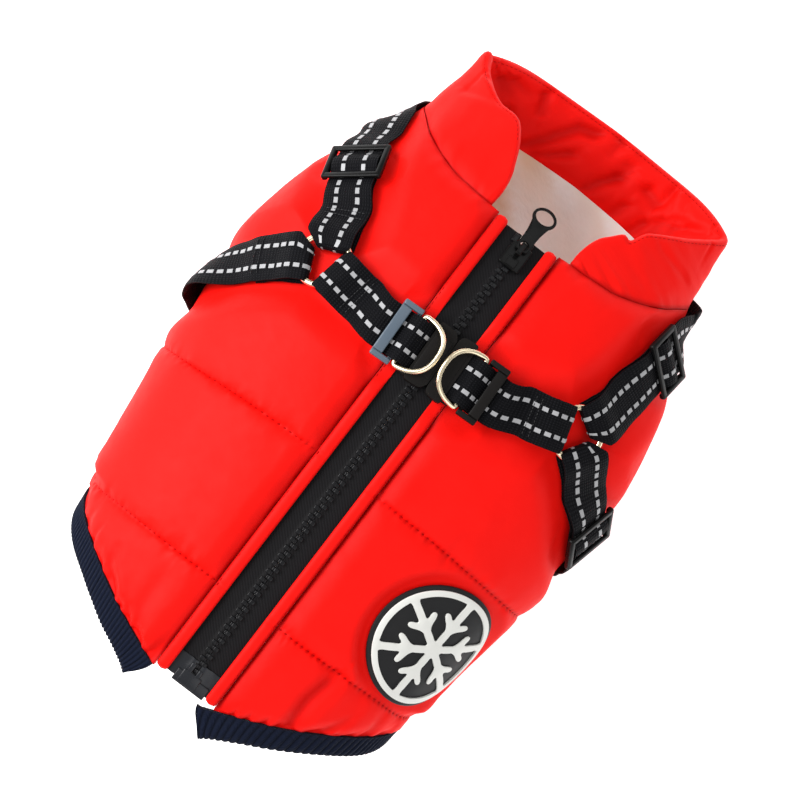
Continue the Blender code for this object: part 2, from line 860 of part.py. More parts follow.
def half_turn(centre, height, radius, start, end, steps):
    """Points round a wire or a bar, from one angle to another in degrees."""
    points = []
    for step in range(steps + 1):
        angle = math.radians(mix(start, end, step / steps))
        points.append((centre + radius * math.cos(angle), height + radius * math.sin(angle)))
    return points


SEWN_TAIL = 28.0
LONGEST_STEP = 6.0
FREE_STEP = 8.0
GLIDE_RISE = 2.3
LOOP_RADIUS = WIRE + LOOP_CLEARANCE + 0.5 * WEBBING_THICKNESS
WIRE_HEIGHT = LOW_LAYER + LOOP_RADIUS
# Distances from a ring's middle: the fold, the end of the flat top over the wire, the foot of
# the slope down from it, and the start of the two layers that lie on each other.
FOLD_AT = 7.4
TOP_END = 12.3
SLOPE_FOOT = 15.1
SLOPE_DROP = 1.2
LAYERS_START = 19.2
CORNER_SLOPE = 1.0
CORNER_INSET = 0.5


def evenly(start, end):
    """Distances from one to another, at most LONGEST_STEP apart."""
    count = math.ceil(abs(end - start) / LONGEST_STEP)
    return [mix(start, end, index / count) for index in range(count + 1)]


def ring_end(tail, upper_to):
    """The strap's end at a ring at distance 0: its tail underneath, round the wire, back on top.

    Both layers have sections at the same distances, so that they stay equally far apart.
    """
    marks = evenly(LAYERS_START, upper_to)
    points = [(tail, LOW_LAYER)]
    points += [(mark, LOW_LAYER) for mark in reversed(marks) if mark < tail - 1.0]
    points += half_turn(FOLD_AT, WIRE_HEIGHT, LOOP_RADIUS, 270.0, 90.0, 6)
    points += [(TOP_END, WIRE_HEIGHT + LOOP_RADIUS)]
    points += [(SLOPE_FOOT, WIRE_HEIGHT + LOOP_RADIUS - SLOPE_DROP)]
    points += [(mark, HIGH_LAYER) for mark in marks]
    return points


def over_glide(middle):
    """Under one end bar of a tri-glide, over its centre bar, under the other end bar."""
    low = HIGH_LAYER
    high = HIGH_LAYER + GLIDE_RISE
    return [(middle - 5.6, low), (middle - 1.7, high), (middle + 1.7, high), (middle + 5.6, low)]


SINGLE_LAYER = 2.4
SINGLE_UNDER_BELLY = 1.55


def single_layer(route, distance):
    """The height of a strap that runs alone: close to the cloth under the belly."""
    share = smoothstep((fold_angle(route.place(distance)[0]) - 136.0) / 24.0)
    return mix(SINGLE_LAYER, SINGLE_UNDER_BELLY, share)


def running_free(route, start, end):
    """Profile of a single strap, with longer steps where it lies flat under the belly."""
    profile = []
    distance = start
    while distance < end - 4.0:
        profile.append((distance, single_layer(route, distance)))
        ahead = distance + 2.0 * FREE_STEP
        under = min(fold_angle(route.place(spot)[0]) for spot in (distance, ahead)) > 160.0
        distance += 2.0 * FREE_STEP if under else FREE_STEP
    profile.append((end, single_layer(route, end)))
    return profile


def mirrored(points, length):
    return [(length - distance, height) for distance, height in reversed(points)]


def strap_half_width(route, distance):
    """Full width, but for the corners of a loop, which are drawn in so that three fit a ring."""
    away = min(distance, route.length - distance)
    return min(0.5 * WEBBING, CORNER_SLOPE * away - CORNER_INSET)


def ribbon(name, route, profile):
    """A strap of webbing along a route, its height given by a profile of (distance, height)."""
    count = len(profile)
    half = 0.5 * WEBBING_THICKNESS
    rings = []
    for index, (distance, height) in enumerate(profile):
        before = Vector(profile[max(index - 1, 0)])
        here = Vector((distance, height))
        after = Vector(profile[min(index + 1, count - 1)])
        first = (here - before).normalized() if index > 0 else (after - here).normalized()
        second = (after - here).normalized() if index < count - 1 else first
        along = (first + second).normalized()
        spread = half / max(0.5, along.dot(second))
        across = Vector((-along.y, along.x)) * spread
        ring = []
        for sign in (1.0, -1.0):
            spot = here + across * sign
            for side in (-1.0, -0.5, 0.0, 0.5, 1.0):
                beside = sign * side * strap_half_width(route, here.x)
                ring.append(on_floor(route.point(spot.x, beside, spot.y)))
        rings.append(ring)
    return tube_from_rings(name, rings, "black_webbing", smooth_angle=50.0)


def build_long_straps():
    """The neck and girth straps, each with a loop round a ring at both ends."""
    for name, route, first_glide, last_glide in (
        ("neck_strap", NECK, GLIDE_NECK_LEFT, NECK.length - GLIDE_NECK_RIGHT),
        ("girth_strap", GIRTH, None, GIRTH.length - GLIDE_GIRTH_RIGHT),
    ):
        ends = []
        for glide in (first_glide, last_glide):
            if glide is None:
                tail = SEWN_TAIL
                end = ring_end(tail, tail) + [(tail + 1.0, HIGH_LAYER)]
            else:
                tail = glide + 9.0
                end = ring_end(tail, glide - 9.5) + over_glide(glide) + [(tail + 0.5, HIGH_LAYER)]
            ends.append((end, tail + 8.0))
        (first, first_free), (last, last_free) = ends
        middle = running_free(route, first_free, route.length - last_free)
        ribbon(name, route, first + middle + mirrored(last, route.length))


# Places on the cross strap, as distances out from the buckle's middle.
BAR_OUT = 11.2
BAR_HEIGHT = 3.7
BAR_RADIUS = 1.1
D_OUT = 14.7
D_HEIGHT = 5.4
D_WIRE = 1.1
D_HALF_WIDTH = 11.5
D_DEPTH = 13.5
D_TILT = 20.0
SLIDE_BAR_INNER = (16.2, 18.0)
SLIDE_BAR_OUTER = (20.6, 25.0)
SLIDE_LOW = 3.35
SLIDE_HIGH = 6.0


def build_cross_straps():
    """A strap on each side, from the ring to the buckle's bar and back underneath."""
    loop = BAR_RADIUS + LOOP_CLEARANCE + 0.5 * WEBBING_THICKNESS
    for name, length, flip in (
        ("cross_strap_left", BUCKLE_AT, False),
        ("cross_strap_right", CROSS.length - BUCKLE_AT, True),
    ):
        bar = length - BAR_OUT
        d_bar = length - D_OUT
        profile = ring_end(0.5 * length, length - SLIDE_BAR_OUTER[1] - 3.0)
        profile += [
            (length - SLIDE_BAR_OUTER[0] + 0.3, HIGH_LAYER),
            (length - SLIDE_BAR_INNER[1] + 0.2, 5.9),
            (d_bar - 0.9, D_HEIGHT + D_WIRE + 1.05),
            (d_bar + 0.9, D_HEIGHT + D_WIRE + 1.05),
        ]
        profile += half_turn(bar, BAR_HEIGHT, loop, 80.0, -90.0, 6)
        profile += [(mark, LOW_LAYER) for mark in evenly(bar - 4.0, 0.5 * length + 0.4)]
        if flip:
            profile = mirrored(profile, CROSS.length)
        ribbon(name, CROSS, profile)


def lattice(name, steps, filled, colour, matrix, bevel=0.4):
    """A solid of boxes: filled(i, j, k) says which cells between the three lists are solid."""
    xs, ys, zs = steps
    counts = (len(xs) - 1, len(ys) - 1, len(zs) - 1)
    bm = bmesh.new()
    made = {}

    def corner(i, j, k):
        if (i, j, k) not in made:
            made[(i, j, k)] = bm.verts.new(Vector((xs[i], ys[j], zs[k])) * MM)
        return made[(i, j, k)]

    def solid(i, j, k):
        inside = 0 <= i < counts[0] and 0 <= j < counts[1] and 0 <= k < counts[2]
        return inside and filled(i, j, k)

    for i in range(counts[0]):
        for j in range(counts[1]):
            for k in range(counts[2]):
                if not filled(i, j, k):
                    continue
                if not solid(i - 1, j, k):
                    bm.faces.new([corner(i, j + a, k + b) for a, b in ((0, 0), (0, 1), (1, 1), (1, 0))])
                if not solid(i + 1, j, k):
                    bm.faces.new([corner(i + 1, j + a, k + b) for a, b in ((0, 0), (1, 0), (1, 1), (0, 1))])
                if not solid(i, j - 1, k):
                    bm.faces.new([corner(i + a, j, k + b) for a, b in ((0, 0), (1, 0), (1, 1), (0, 1))])
                if not solid(i, j + 1, k):
                    bm.faces.new([corner(i + a, j + 1, k + b) for a, b in ((0, 0), (0, 1), (1, 1), (1, 0))])
                if not solid(i, j, k - 1):
                    bm.faces.new([corner(i + a, j + b, k) for a, b in ((0, 0), (0, 1), (1, 1), (1, 0))])
                if not solid(i, j, k + 1):
                    bm.faces.new([corner(i + a, j + b, k + 1) for a, b in ((0, 0), (1, 0), (1, 1), (0, 1))])
    bmesh.ops.recalc_face_normals(bm, faces=bm.faces[:])
    bmesh.ops.dissolve_limit(bm, angle_limit=math.radians(1.0), verts=bm.verts[:], edges=bm.edges[:])
    made_object = add_object(name, bm, colour, 30.0, matrix)
    if bevel > 0.0:
        rounding = made_object.modifiers.new("rounding", "BEVEL")
        rounding.width = bevel * MM
        rounding.segments = 1
        rounding.limit_method = "ANGLE"
        rounding.angle_limit = math.radians(40.0)
    return made_object


GLIDE_HALF_LENGTH = 8.6
GLIDE_BAR = 2.6
GLIDE_LOW = 3.4
GLIDE_HIGH = 6.2


def build_glides():
    """Tri-glides: two rails, two end bars over the strap and a centre bar under it."""
    under = HIGH_LAYER + 0.5 * WEBBING_THICKNESS + GAP
    over = HIGH_LAYER + GLIDE_RISE - 0.5 * WEBBING_THICKNESS - GAP
    edge_bar = GLIDE_HALF_LENGTH - GLIDE_BAR
    half_bar = 0.5 * GLIDE_BAR
    xs = (-GLIDE_HALF_LENGTH, -edge_bar, -half_bar, half_bar, edge_bar, GLIDE_HALF_LENGTH)
    ys = (-RAIL_OUTER, -RAIL_INNER, RAIL_INNER, RAIL_OUTER)
    zs = (GLIDE_LOW, under, over, GLIDE_HIGH)

    def filled(i, j, k):
        if j != 1:
            return True
        if i in (0, 4):
            return k >= 1
        return i == 2 and k <= 1

    for name, route, distance in (
        ("glide_neck_left", NECK, GLIDE_NECK_LEFT),
        ("glide_neck_right", NECK, GLIDE_NECK_RIGHT),
        ("glide_girth_right", GIRTH, GLIDE_GIRTH_RIGHT),
    ):
        lattice(name, (xs, ys, zs), filled, "black_plastic", route.matrix(distance))


def build_slides():
    """Two-bar slides beside the buckle: a broad bar over the strap, a narrow one under it."""
    under = HIGH_LAYER + 0.5 * WEBBING_THICKNESS + GAP
    ys = (-RAIL_OUTER, -RAIL_INNER, RAIL_INNER, RAIL_OUTER)
    zs = (SLIDE_LOW, under, SLIDE_HIGH)
    for name, sign in (("slide_left", -1.0), ("slide_right", 1.0)):
        xs = sorted(sign * value for value in SLIDE_BAR_INNER + SLIDE_BAR_OUTER)
        broad = 0 if sign < 0.0 else 2
        narrow = 2 - broad

        def filled(i, j, k, broad=broad, narrow=narrow):
            if j != 1:
                return True
            if i == broad:
                return k == 1
            return i == narrow and k == 0

        lattice(name, (xs, ys, zs), filled, "black_plastic", CROSS.matrix(BUCKLE_AT))


BUCKLE_BODY_OUT = 7.8
BUCKLE_LOW = 1.8
BUCKLE_HIGH = 6.4
BUCKLE_HALF = 14.6
BUCKLE_SPLIT = 1.2


def build_buckle():
    """Side-release buckle, fastened: the plug half on the left, the socket half on the right."""
    rail_low = BAR_HEIGHT - BAR_RADIUS
    rail_high = BAR_HEIGHT + BAR_RADIUS
    bar_end = BAR_OUT + BAR_RADIUS
    bar_start = BAR_OUT - BAR_RADIUS
    zs = (BUCKLE_LOW, rail_low, rail_high, BUCKLE_HIGH)
    ys = (-BUCKLE_HALF, -12.6, -RAIL_INNER, RAIL_INNER, 12.6, BUCKLE_HALF)
    xs = (-bar_end, -bar_start, -BUCKLE_BODY_OUT, -3.2, BUCKLE_SPLIT - GAP)

    def plug(i, j, k):
        rail = j in (1, 3)
        middle = j == 2
        wing = j in (0, 4)
        if i == 0:
            return k == 1 and (rail or middle)
        if i == 1:
            return k == 1 and rail
        if i == 2:
            return not wing or k == 1
        return middle or (rail and k == 1)

    lattice("buckle_plug", (xs, ys, zs), plug, "black_plastic", CROSS.matrix(BUCKLE_AT), 0.3)
    xs = (BUCKLE_SPLIT, BUCKLE_BODY_OUT, bar_start, bar_end)

    def socket(i, j, k):
        rail = j in (1, 3)
        middle = j == 2
        if i == 0:
            return True
        if i == 1:
            return k == 1 and rail
        return k == 1 and (rail or middle)

    lattice("buckle_socket", (xs, ys, zs), socket, "black_plastic", CROSS.matrix(BUCKLE_AT), 0.3)


def wire_ring(name, path, radius, colour, matrix, sides=6):
    """A closed bent wire along a path of points that lies in its own XY plane."""
    count = len(path)
    rings = []
    for index, point in enumerate(path):
        before = (point - path[index - 1]).normalized()
        after = (path[(index + 1) % count] - point).normalized()
        ahead = (before + after).normalized()
        spread = 1.0 / max(0.4, ahead.dot(after))
        outward = Vector((ahead.y, -ahead.x, 0.0)) * spread
        ring = []
        for side in range(sides):
            angle = 2.0 * math.pi * (side + 0.5) / sides
            offset = outward * math.cos(angle) + Vector((0.0, 0.0, 1.0)) * math.sin(angle)
            ring.append(point + offset * radius)
        rings.append(ring)
    return tube_from_rings(name, rings, colour, closed=True, matrix=matrix, scale=MM)


def build_rings():
    steps = 32
    path = []
    for step in range(steps):
        angle = 2.0 * math.pi * step / steps
        path.append(Vector((RING_RADIUS * math.cos(angle), RING_RADIUS * math.sin(angle), 0.0)))
    for name, distance in (("o_ring_left", 0.0), ("o_ring_right", CROSS.length)):
        wire_ring(name, path, WIRE, "pale_metal", CROSS.matrix(distance, WIRE_HEIGHT))


def build_d_rings():
    """D-rings, each with its straight bar in the strap's loop, leaning on the buckle."""
    steps = 16
    path = []
    for step in range(steps + 1):
        angle = math.pi * step / steps
        along = D_DEPTH * abs(math.sin(angle)) ** 0.85
        across = math.copysign(D_HALF_WIDTH * abs(math.cos(angle)) ** 0.8, math.cos(angle))
        path.append(Vector((along, across, 0.0)))
    for name, sign in (("d_ring_left", -1.0), ("d_ring_right", 1.0)):
        place = CROSS.matrix(BUCKLE_AT + sign * D_OUT, D_HEIGHT)
        if sign > 0.0:
            place = place @ Matrix.Rotation(math.pi, 4, "Z")
        tilt = Matrix.Rotation(-math.radians(D_TILT), 4, "Y")
        wire_ring(name, path, D_WIRE, "pale_metal", place @ tilt)


def zip_matrix(along, height):
    centre = envelope(0.0, along)
    outward = normal(0.0, along)
    sideways = Vector((1.0, 0.0, 0.0))
    forward = outward.cross(sideways).normalized()
    return axes_matrix(centre + outward * height, sideways, forward, outward)


SLIDER_TOP = 2.3
PULL_AXIS_AT = SLIDER_AT + 2.5
PULL_AXIS_HEIGHT = SLIDER_TOP + 1.1
PULL_HALF_THICKNESS = 0.6


def build_slider():
    """The slider: two plates round the teeth, a post between them and a bridge on top."""
    bridge_under = 4.5
    bridge_top = 5.6
    xs = (-4.6, -3.4, -1.1, -0.7, 0.7, 1.1, 3.4, 4.6)
    ys = (-6.0, -0.4, 1.0, 4.0, 5.4)
    zs = (-3.4, -2.1, 0.9, SLIDER_TOP, bridge_under, bridge_top)

    def filled(i, j, k):
        if k in (0, 2):
            return True
        if k == 1:
            return i == 3 and j == 3
        post = i in (2, 3, 4)
        if k == 3:
            return post and j in (1, 3)
        return post and j in (1, 2, 3)

    lattice("zip_slider", (xs, ys, zs), filled, "black_plastic", zip_matrix(SLIDER_AT, 0.0), 0.3)


def flat_plate(name, outline, holes, half_thickness, colour, matrix):
    """A plate with holes, from outlines in its own XY plane."""
    bm = bmesh.new()
    edges = []
    for loop in [outline] + holes:
        corners = [bm.verts.new(Vector((x, y, -half_thickness)) * MM) for x, y in loop]
        for first, second in zip(corners, corners[1:] + corners[:1]):
            edges.append(bm.edges.new((first, second)))
    bmesh.ops.triangle_fill(bm, use_beauty=True, use_dissolve=False, edges=edges)
    grown = bmesh.ops.extrude_face_region(bm, geom=bm.faces[:])
    risen = [item for item in grown["geom"] if isinstance(item, bmesh.types.BMVert)]
    bmesh.ops.translate(bm, verts=risen, vec=Vector((0.0, 0.0, 2.0 * half_thickness * MM)))
    return add_object(name, bm, colour, 30.0, matrix)


def oval(centre, half_wide, half_long, steps, start=0.0, end=360.0):
    points = []
    for step in range(steps):
        angle = math.radians(mix(start, end, step / steps))
        points.append((half_wide * math.cos(angle), centre + half_long * math.sin(angle)))
    return points


def build_pull():
    """The pull tab: an eye round the slider's bridge, a stem and an oval eyelet."""
    eyelet = 16.5
    outline = [(-2.8, -0.6), (2.8, -0.6), (2.8, 4.4), (1.6, 5.6), (1.6, 11.2)]
    outline += oval(eyelet, 3.4, 5.2, 14, -62.0, 242.0 + 304.0 / 13.0)[:14]
    outline += [(-1.6, 11.2), (-1.6, 5.6), (-2.8, 4.4)]
    bridge_eye = [(-1.6, 0.6), (1.6, 0.6), (1.6, 3.6), (-1.6, 3.6)]
    opening = oval(eyelet, 1.7, 3.2, 12)
    place = zip_matrix(PULL_AXIS_AT, PULL_AXIS_HEIGHT)
    flat_plate("zip_pull", outline, [bridge_eye, opening], PULL_HALF_THICKNESS, "black_plastic", place)


def badge_point(x, y, height):
    """A point of the badge, from its own flat coordinates, laid over the cloth."""
    around, along = walk(BADGE_CENTRE, x, y)
    return lifted(around, along, height)


def badge_disc(name, radii, low, high, steps, colour):
    """A disc or a ring over the cloth: radii from the inside out."""
    hole = radii[0] > 0.0
    bm = bmesh.new()
    layers = []
    for height in (high, low):
        rings = []
        for radius in radii:
            if radius == 0.0:
                rings.append([bm.verts.new(in_world(badge_point(0.0, 0.0, height)))])
                continue
            ring = []
            for step in range(steps):
                angle = 2.0 * math.pi * step / steps
                x = radius * math.cos(angle)
                y = radius * math.sin(angle)
                ring.append(bm.verts.new(in_world(badge_point(x, y, height))))
            rings.append(ring)
        layers.append(rings)
        for first, second in zip(rings, rings[1:]):
            for step in range(steps):
                after = (step + 1) % steps
                if len(first) == 1:
                    bm.faces.new((first[0], second[step], second[after]))
                else:
                    bm.faces.new((first[step], second[step], second[after], first[after]))
    joins = [-1, 0] if hole else [-1]
    for join in joins:
        for step in range(steps):
            after = (step + 1) % steps
            top = layers[0][join]
            low_ring = layers[1][join]
            bm.faces.new((top[step], low_ring[step], low_ring[after], top[after]))
    return add_object(name, bm, colour, 35.0)


def arm_side():
    """One side of a snowflake's arm, from the middle to the rim: (out, beside), with a twig."""
    inner = ARM_HALF / math.tan(math.radians(30.0))
    slant = math.radians(52.0)
    root = TWIG_AT - TWIG_HALF / math.sin(slant)
    end_out = root + TWIG_LONG * math.cos(slant)
    end_beside = ARM_HALF + TWIG_LONG * math.sin(slant)
    return [
        (inner, ARM_HALF),
        (mix(inner, root, 0.5), ARM_HALF),
        (root, ARM_HALF),
        (end_out, end_beside),
        (end_out + 2.0 * TWIG_HALF * math.sin(slant), end_beside - 2.0 * TWIG_HALF * math.cos(slant)),
        (TWIG_AT + TWIG_HALF / math.sin(slant), ARM_HALF),
        (mix(TWIG_AT, RIM_INNER, 0.6), ARM_HALF),
        (RIM_INNER, ARM_HALF),
    ]


def relief_outlines():
    """The rim's outer circle, and the openings between the arms of a six-armed snowflake."""
    circle = [2.0 * math.pi * step / 40 for step in range(40)]
    outlines = [[(RIM_OUTER * math.cos(angle), RIM_OUTER * math.sin(angle)) for angle in circle]]
    arm_width = math.degrees(math.asin(ARM_HALF / RIM_INNER))
    for turn in range(6):
        start = 60.0 * turn + 30.0
        angle = math.radians(start)
        loop = [(x * math.cos(angle) - y * math.sin(angle), x * math.sin(angle) + y * math.cos(angle))
                for x, y in arm_side()]
        for step in range(1, 5):
            angle = math.radians(mix(start + arm_width, start + 60.0 - arm_width, step / 5))
            loop.append((RIM_INNER * math.cos(angle), RIM_INNER * math.sin(angle)))
        angle = math.radians(start + 60.0)
        loop += [(x * math.cos(angle) + y * math.sin(angle), x * math.sin(angle) - y * math.cos(angle))
                 for x, y in reversed(arm_side()[1:])]
        outlines.append(loop)
    return outlines


def build_badge():
    low = BADGE_BED + 0.7
    high = low + BADGE_THICKNESS
    badge_disc("badge", (0.0, 14.0, BADGE_RADIUS), low, high, 40, "black_rubber")
    bm = bmesh.new()
    edges = []
    for outline in relief_outlines():
        corners = [bm.verts.new(Vector((x, y, 0.0))) for x, y in outline]
        edges += [bm.edges.new(pair) for pair in zip(corners, corners[1:] + corners[:1])]
    bmesh.ops.triangle_fill(bm, use_beauty=True, use_dissolve=False, edges=edges)
    grown = bmesh.ops.extrude_face_region(bm, geom=bm.faces[:])
    risen = {item for item in grown["geom"] if isinstance(item, bmesh.types.BMVert)}
    for corner in bm.verts:
        height = high + GAP + (RELIEF_HEIGHT if corner in risen else 0.0)
        corner.co = in_world(badge_point(corner.co.x, corner.co.y, height))
    add_object("badge_relief", bm, "white_rubber", 35.0)


def main():
    clear_scene()
    build_back_panels()
    build_belly()
    build_lining()
    build_collar()
    build_zip_tape()
    build_plackets()
    build_slider()
    build_pull()
    build_hem_rib()
    build_armholes()
    build_long_straps()
    build_cross_straps()
    build_glides()
    build_slides()
    build_buckle()
    build_rings()
    build_d_rings()
    build_badge()


main()
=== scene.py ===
"""The dressed dog vest: finer cloth, sewing, zip, webbing, plastics and metal over the frame.

All shapes are in millimetres over the same envelope as the solids, and become metres when a
piece is made. A place on the cloth is an angle around it, in degrees from the zip, and a
distance along it.
"""

import math

import bmesh
import bpy
import numpy as np
from mathutils import Matrix, Vector


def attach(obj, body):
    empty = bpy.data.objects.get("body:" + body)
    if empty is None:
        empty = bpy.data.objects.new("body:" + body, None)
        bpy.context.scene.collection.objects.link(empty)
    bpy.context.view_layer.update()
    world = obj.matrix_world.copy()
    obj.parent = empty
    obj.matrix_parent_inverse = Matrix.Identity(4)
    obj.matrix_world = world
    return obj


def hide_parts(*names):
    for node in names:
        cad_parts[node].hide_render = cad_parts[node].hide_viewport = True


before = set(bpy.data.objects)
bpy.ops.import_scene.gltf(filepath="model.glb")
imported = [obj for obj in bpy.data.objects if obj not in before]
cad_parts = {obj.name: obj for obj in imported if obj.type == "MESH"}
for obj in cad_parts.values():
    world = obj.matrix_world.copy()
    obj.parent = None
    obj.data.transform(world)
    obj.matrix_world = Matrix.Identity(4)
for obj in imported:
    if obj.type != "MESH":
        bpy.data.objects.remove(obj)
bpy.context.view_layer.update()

MM = 0.001
MOVE = np.array((-2.53, -15.47, 0.0))
GAP = 0.3

# The envelope: along, half_width, widest_height, crest_height, shift, crease.
SECTIONS = (
    (-136.0, 70.0, 34.0, 68.0, 0.0, 0.0),
    (-118.0, 73.0, 34.0, 73.0, 0.0, 0.0),
    (-95.0, 76.5, 35.0, 78.5, 0.0, 0.0),
    (-67.0, 79.0, 35.5, 81.5, 0.0, 0.0),
    (-34.0, 83.0, 36.0, 84.0, 0.0, 0.0),
    (8.0, 90.0, 36.0, 85.5, 0.0, 0.0),
    (32.0, 90.0, 36.0, 84.5, 0.0, 0.0),
    (60.0, 86.0, 35.0, 81.0, 0.3, 0.0),
    (85.0, 79.0, 33.0, 75.0, 0.8, 0.0),
    (104.0, 72.0, 30.5, 68.0, 1.4, 0.0),
    (122.0, 66.0, 28.0, 60.5, 2.2, 0.2),
    (140.0, 61.5, 25.0, 54.0, 3.0, 0.5),
    (165.0, 59.0, 21.0, 47.0, 3.8, 0.7),
)
LOWER_POWER = 0.77
LOWER_REACH = 1.06
LANDING = 0.15
FLOOR_GAP = 2.5

# Edges and stitched lines: around, hem, low_quilt, high_quilt, neck, collar_top.
EDGES = (
    (8.0, -122.5, -79.0, -14.5, 104.0, 116.0),
    (20.0, -116.5, -79.0, -15.0, 104.0, 119.0),
    (26.0, -113.5, -79.0, -15.3, 104.6, 127.5),
    (34.0, -109.4, -79.0, -15.8, 105.6, 134.0),
    (53.0, -98.8, -79.0, -17.5, 111.5, 142.5),
    (70.0, -90.8, -79.2, -18.4, 117.5, 148.5),
    (90.0, -82.6, -76.0, -18.6, 121.0, 152.5),
    (110.0, -78.0, -69.5, -18.6, 123.5, 155.5),
    (140.0, -70.0, -61.5, -18.6, 128.0, 159.5),
    (180.0, -66.0, -57.5, -18.6, 131.0, 161.5),
)
HEM, LOW_QUILT, HIGH_QUILT, NECK_LINE, COLLAR_TOP = range(5)

SHELL_WALL = 2.5
LINING_WALL = 1.5
LINING_GAP = 0.8
COLLAR_WALL = 3.0
COLLAR_PUFF = 2.4
PUFFS = (3.6, 4.6, 4.8)
BELLY_PUFF = 2.5
PRESSED_PUFF = 0.45
SIDE_SEAM = 138.0
ARMHOLE_MIDDLE = 72.0
ARMHOLE_HALF_LENGTH = 24.0
ARMHOLE_HALF_ANGLE = 17.0
ARM_LOW = ARMHOLE_MIDDLE - ARMHOLE_HALF_LENGTH
ARM_HIGH = ARMHOLE_MIDDLE + ARMHOLE_HALF_LENGTH
PLACKET_INNER = 9.3
PLACKET_OUTER = 14.5
PLACKET_HEIGHT = 2.8
TAPE_OUTER = 14.0
TAPE_OPEN = 1.9
ZIP_BOTTOM = -118.2
ZIP_TOP = 101.6
WELT_BOTTOM = -119.8
WELT_TOP = 103.4
SLIDER_AT = 93.0
RIB_WIDTH = 11.5
RIB_HALF = 1.3
RIB_PITCH = 1.9
WEBBING = 20.0
HALF_WEBBING = 0.5 * WEBBING
WEBBING_THICKNESS = 1.4
HALF_YARN = 0.625
WIRE = 1.3
RING_RADIUS = 10.7
LOW_LAYER = 1.8
HIGH_LAYER = 3.6
RAIL_INNER = 10.6
RAIL_OUTER = 13.0
BADGE_RADIUS = 27.0
BADGE_BED = 2.0
BADGE_THICKNESS = 1.3


def smooth(value):
    value = np.clip(value, 0.0, 1.0)
    return value * value * (3.0 - 2.0 * value)


def mix(first, second, share):
    return first + (second - first) * share


def bell(away, width):
    """A bump of height 1 that fades away from its middle."""
    return np.exp(-(away / width) ** 2)


def run_along(points):
    """The distance along a line of points."""
    return np.concatenate(([0.0], np.cumsum(np.linalg.norm(np.diff(points, axis=0), axis=1))))


def sampled(marks, run, values):
    """Values at marks along a line, by the distance along it."""
    return np.stack([np.interp(marks, run, column) for column in values.T], -1)


def spline_rows(table, at):
    """Rows of a table at values of its first column, on smooth curves through its rows."""
    rows = np.asarray(table, float)
    keys = rows[:, 0]
    last = len(keys) - 1
    at = np.clip(np.asarray(at, float), keys[0], keys[-1])
    index = np.clip(np.searchsorted(keys, at) - 1, 0, last - 1)
    before = rows[np.maximum(index - 1, 0)]
    start = rows[index]
    end = rows[index + 1]
    after = rows[np.minimum(index + 2, last)]
    span = end[..., :1] - start[..., :1]
    share = (at[..., None] - start[..., :1]) / span
    slope_start = (end - before) / (end[..., :1] - before[..., :1])
    slope_end = (after - start) / (after[..., :1] - start[..., :1])
    square = share * share
    cube = square * share
    value = (2.0 * cube - 3.0 * square + 1.0) * start
    value += (cube - 2.0 * square + share) * span * slope_start
    value += (3.0 * square - 2.0 * cube) * end + (cube - square) * span * slope_end
    return value[..., 1:]


def fold_angle(around):
    around = np.mod(around, 360.0)
    return np.minimum(around, 360.0 - around)


def edge(around, column):
    return spline_rows(EDGES, fold_angle(around))[..., column]


def landing(share):
    share = np.maximum(share, 0.0)
    eased = np.where(share < LANDING, share * share / (2.0 * LANDING), share - 0.5 * LANDING)
    return eased / (1.0 - 0.5 * LANDING)


def envelope(around, along):
    around, along = np.broadcast_arrays(np.asarray(around, float), np.asarray(along, float))
    half, widest, crest, shift, crease = np.moveaxis(spline_rows(SECTIONS, along), -1, 0)
    sine = np.sin(np.radians(around))
    cosine = np.cos(np.radians(around))
    share = np.sign(sine) * np.abs(sine) ** LOWER_POWER
    depth = LOWER_REACH * mix(np.abs(cosine) ** LOWER_POWER, 1.0 - share * share, crease)
    upper = widest + (crest - widest) * mix(cosine, cosine * cosine, crease)
    lower = FLOOR_GAP + (widest - FLOOR_GAP) * landing(1.0 - depth)
    across = half * np.where(cosine >= 0.0, sine, share)
    height = np.where(cosine >= 0.0, upper, lower)
    return np.stack((across + shift, along, height), -1)


def unit(vectors):
    return vectors / np.linalg.norm(vectors, axis=-1, keepdims=True)


def slopes(around, along):
    """How the envelope runs for a degree around and for a millimetre along."""
    turn = envelope(around + 1.5, along) - envelope(around - 1.5, along)
    run = envelope(around, along + 2.0) - envelope(around, along - 2.0)
    return turn / 3.0, run / 4.0


def normal(around, along):
    turn, run = slopes(around, along)
    return unit(np.cross(turn, run))


def lifted(around, along, height):
    """Points at a height over the envelope, none of them under the floor."""
    around = np.asarray(around, float)
    along = np.asarray(along, float)
    height = np.asarray(height, float)[..., None]
    points = envelope(around, along) + normal(around, along) * height
    points[..., 2] = np.maximum(points[..., 2], 0.0)
    return points


def around_at(across, along):
    """The angle of a place that lies so far across from the middle, on the upper side."""
    row = spline_rows(SECTIONS, along)
    share = np.clip((across - row[..., 3]) / row[..., 0], -1.0, 1.0)
    return np.degrees(np.arcsin(share))


# Distances round the cloth from the zip, for seams, sewing and weave.
ARC_STEP = 4.0
ARC_ALONG = np.arange(-136.0, 165.1, ARC_STEP)
ARC_RINGS = envelope(np.arange(361.0)[None, :], ARC_ALONG[:, None])
ARC = np.cumsum(np.linalg.norm(np.diff(ARC_RINGS, axis=1), axis=2), axis=1)
ARC = np.concatenate((np.zeros((len(ARC), 1)), ARC), axis=1)


def arc(around, along):
    """The distance round the cloth from the zip line, in millimetres."""
    around, along = np.broadcast_arrays(np.asarray(around, float), np.asarray(along, float))
    row = np.clip((along - ARC_ALONG[0]) / ARC_STEP, 0.0, len(ARC_ALONG) - 1.001)
    column = np.clip(np.abs(around), 0.0, 359.999)
    low = row.astype(int)
    left = column.astype(int)
    up = row - low
    right = column - left
    first = mix(ARC[low, left], ARC[low, left + 1], right)
    second = mix(ARC[low + 1, left], ARC[low + 1, left + 1], right)
    return np.sign(around) * mix(first, second, up)


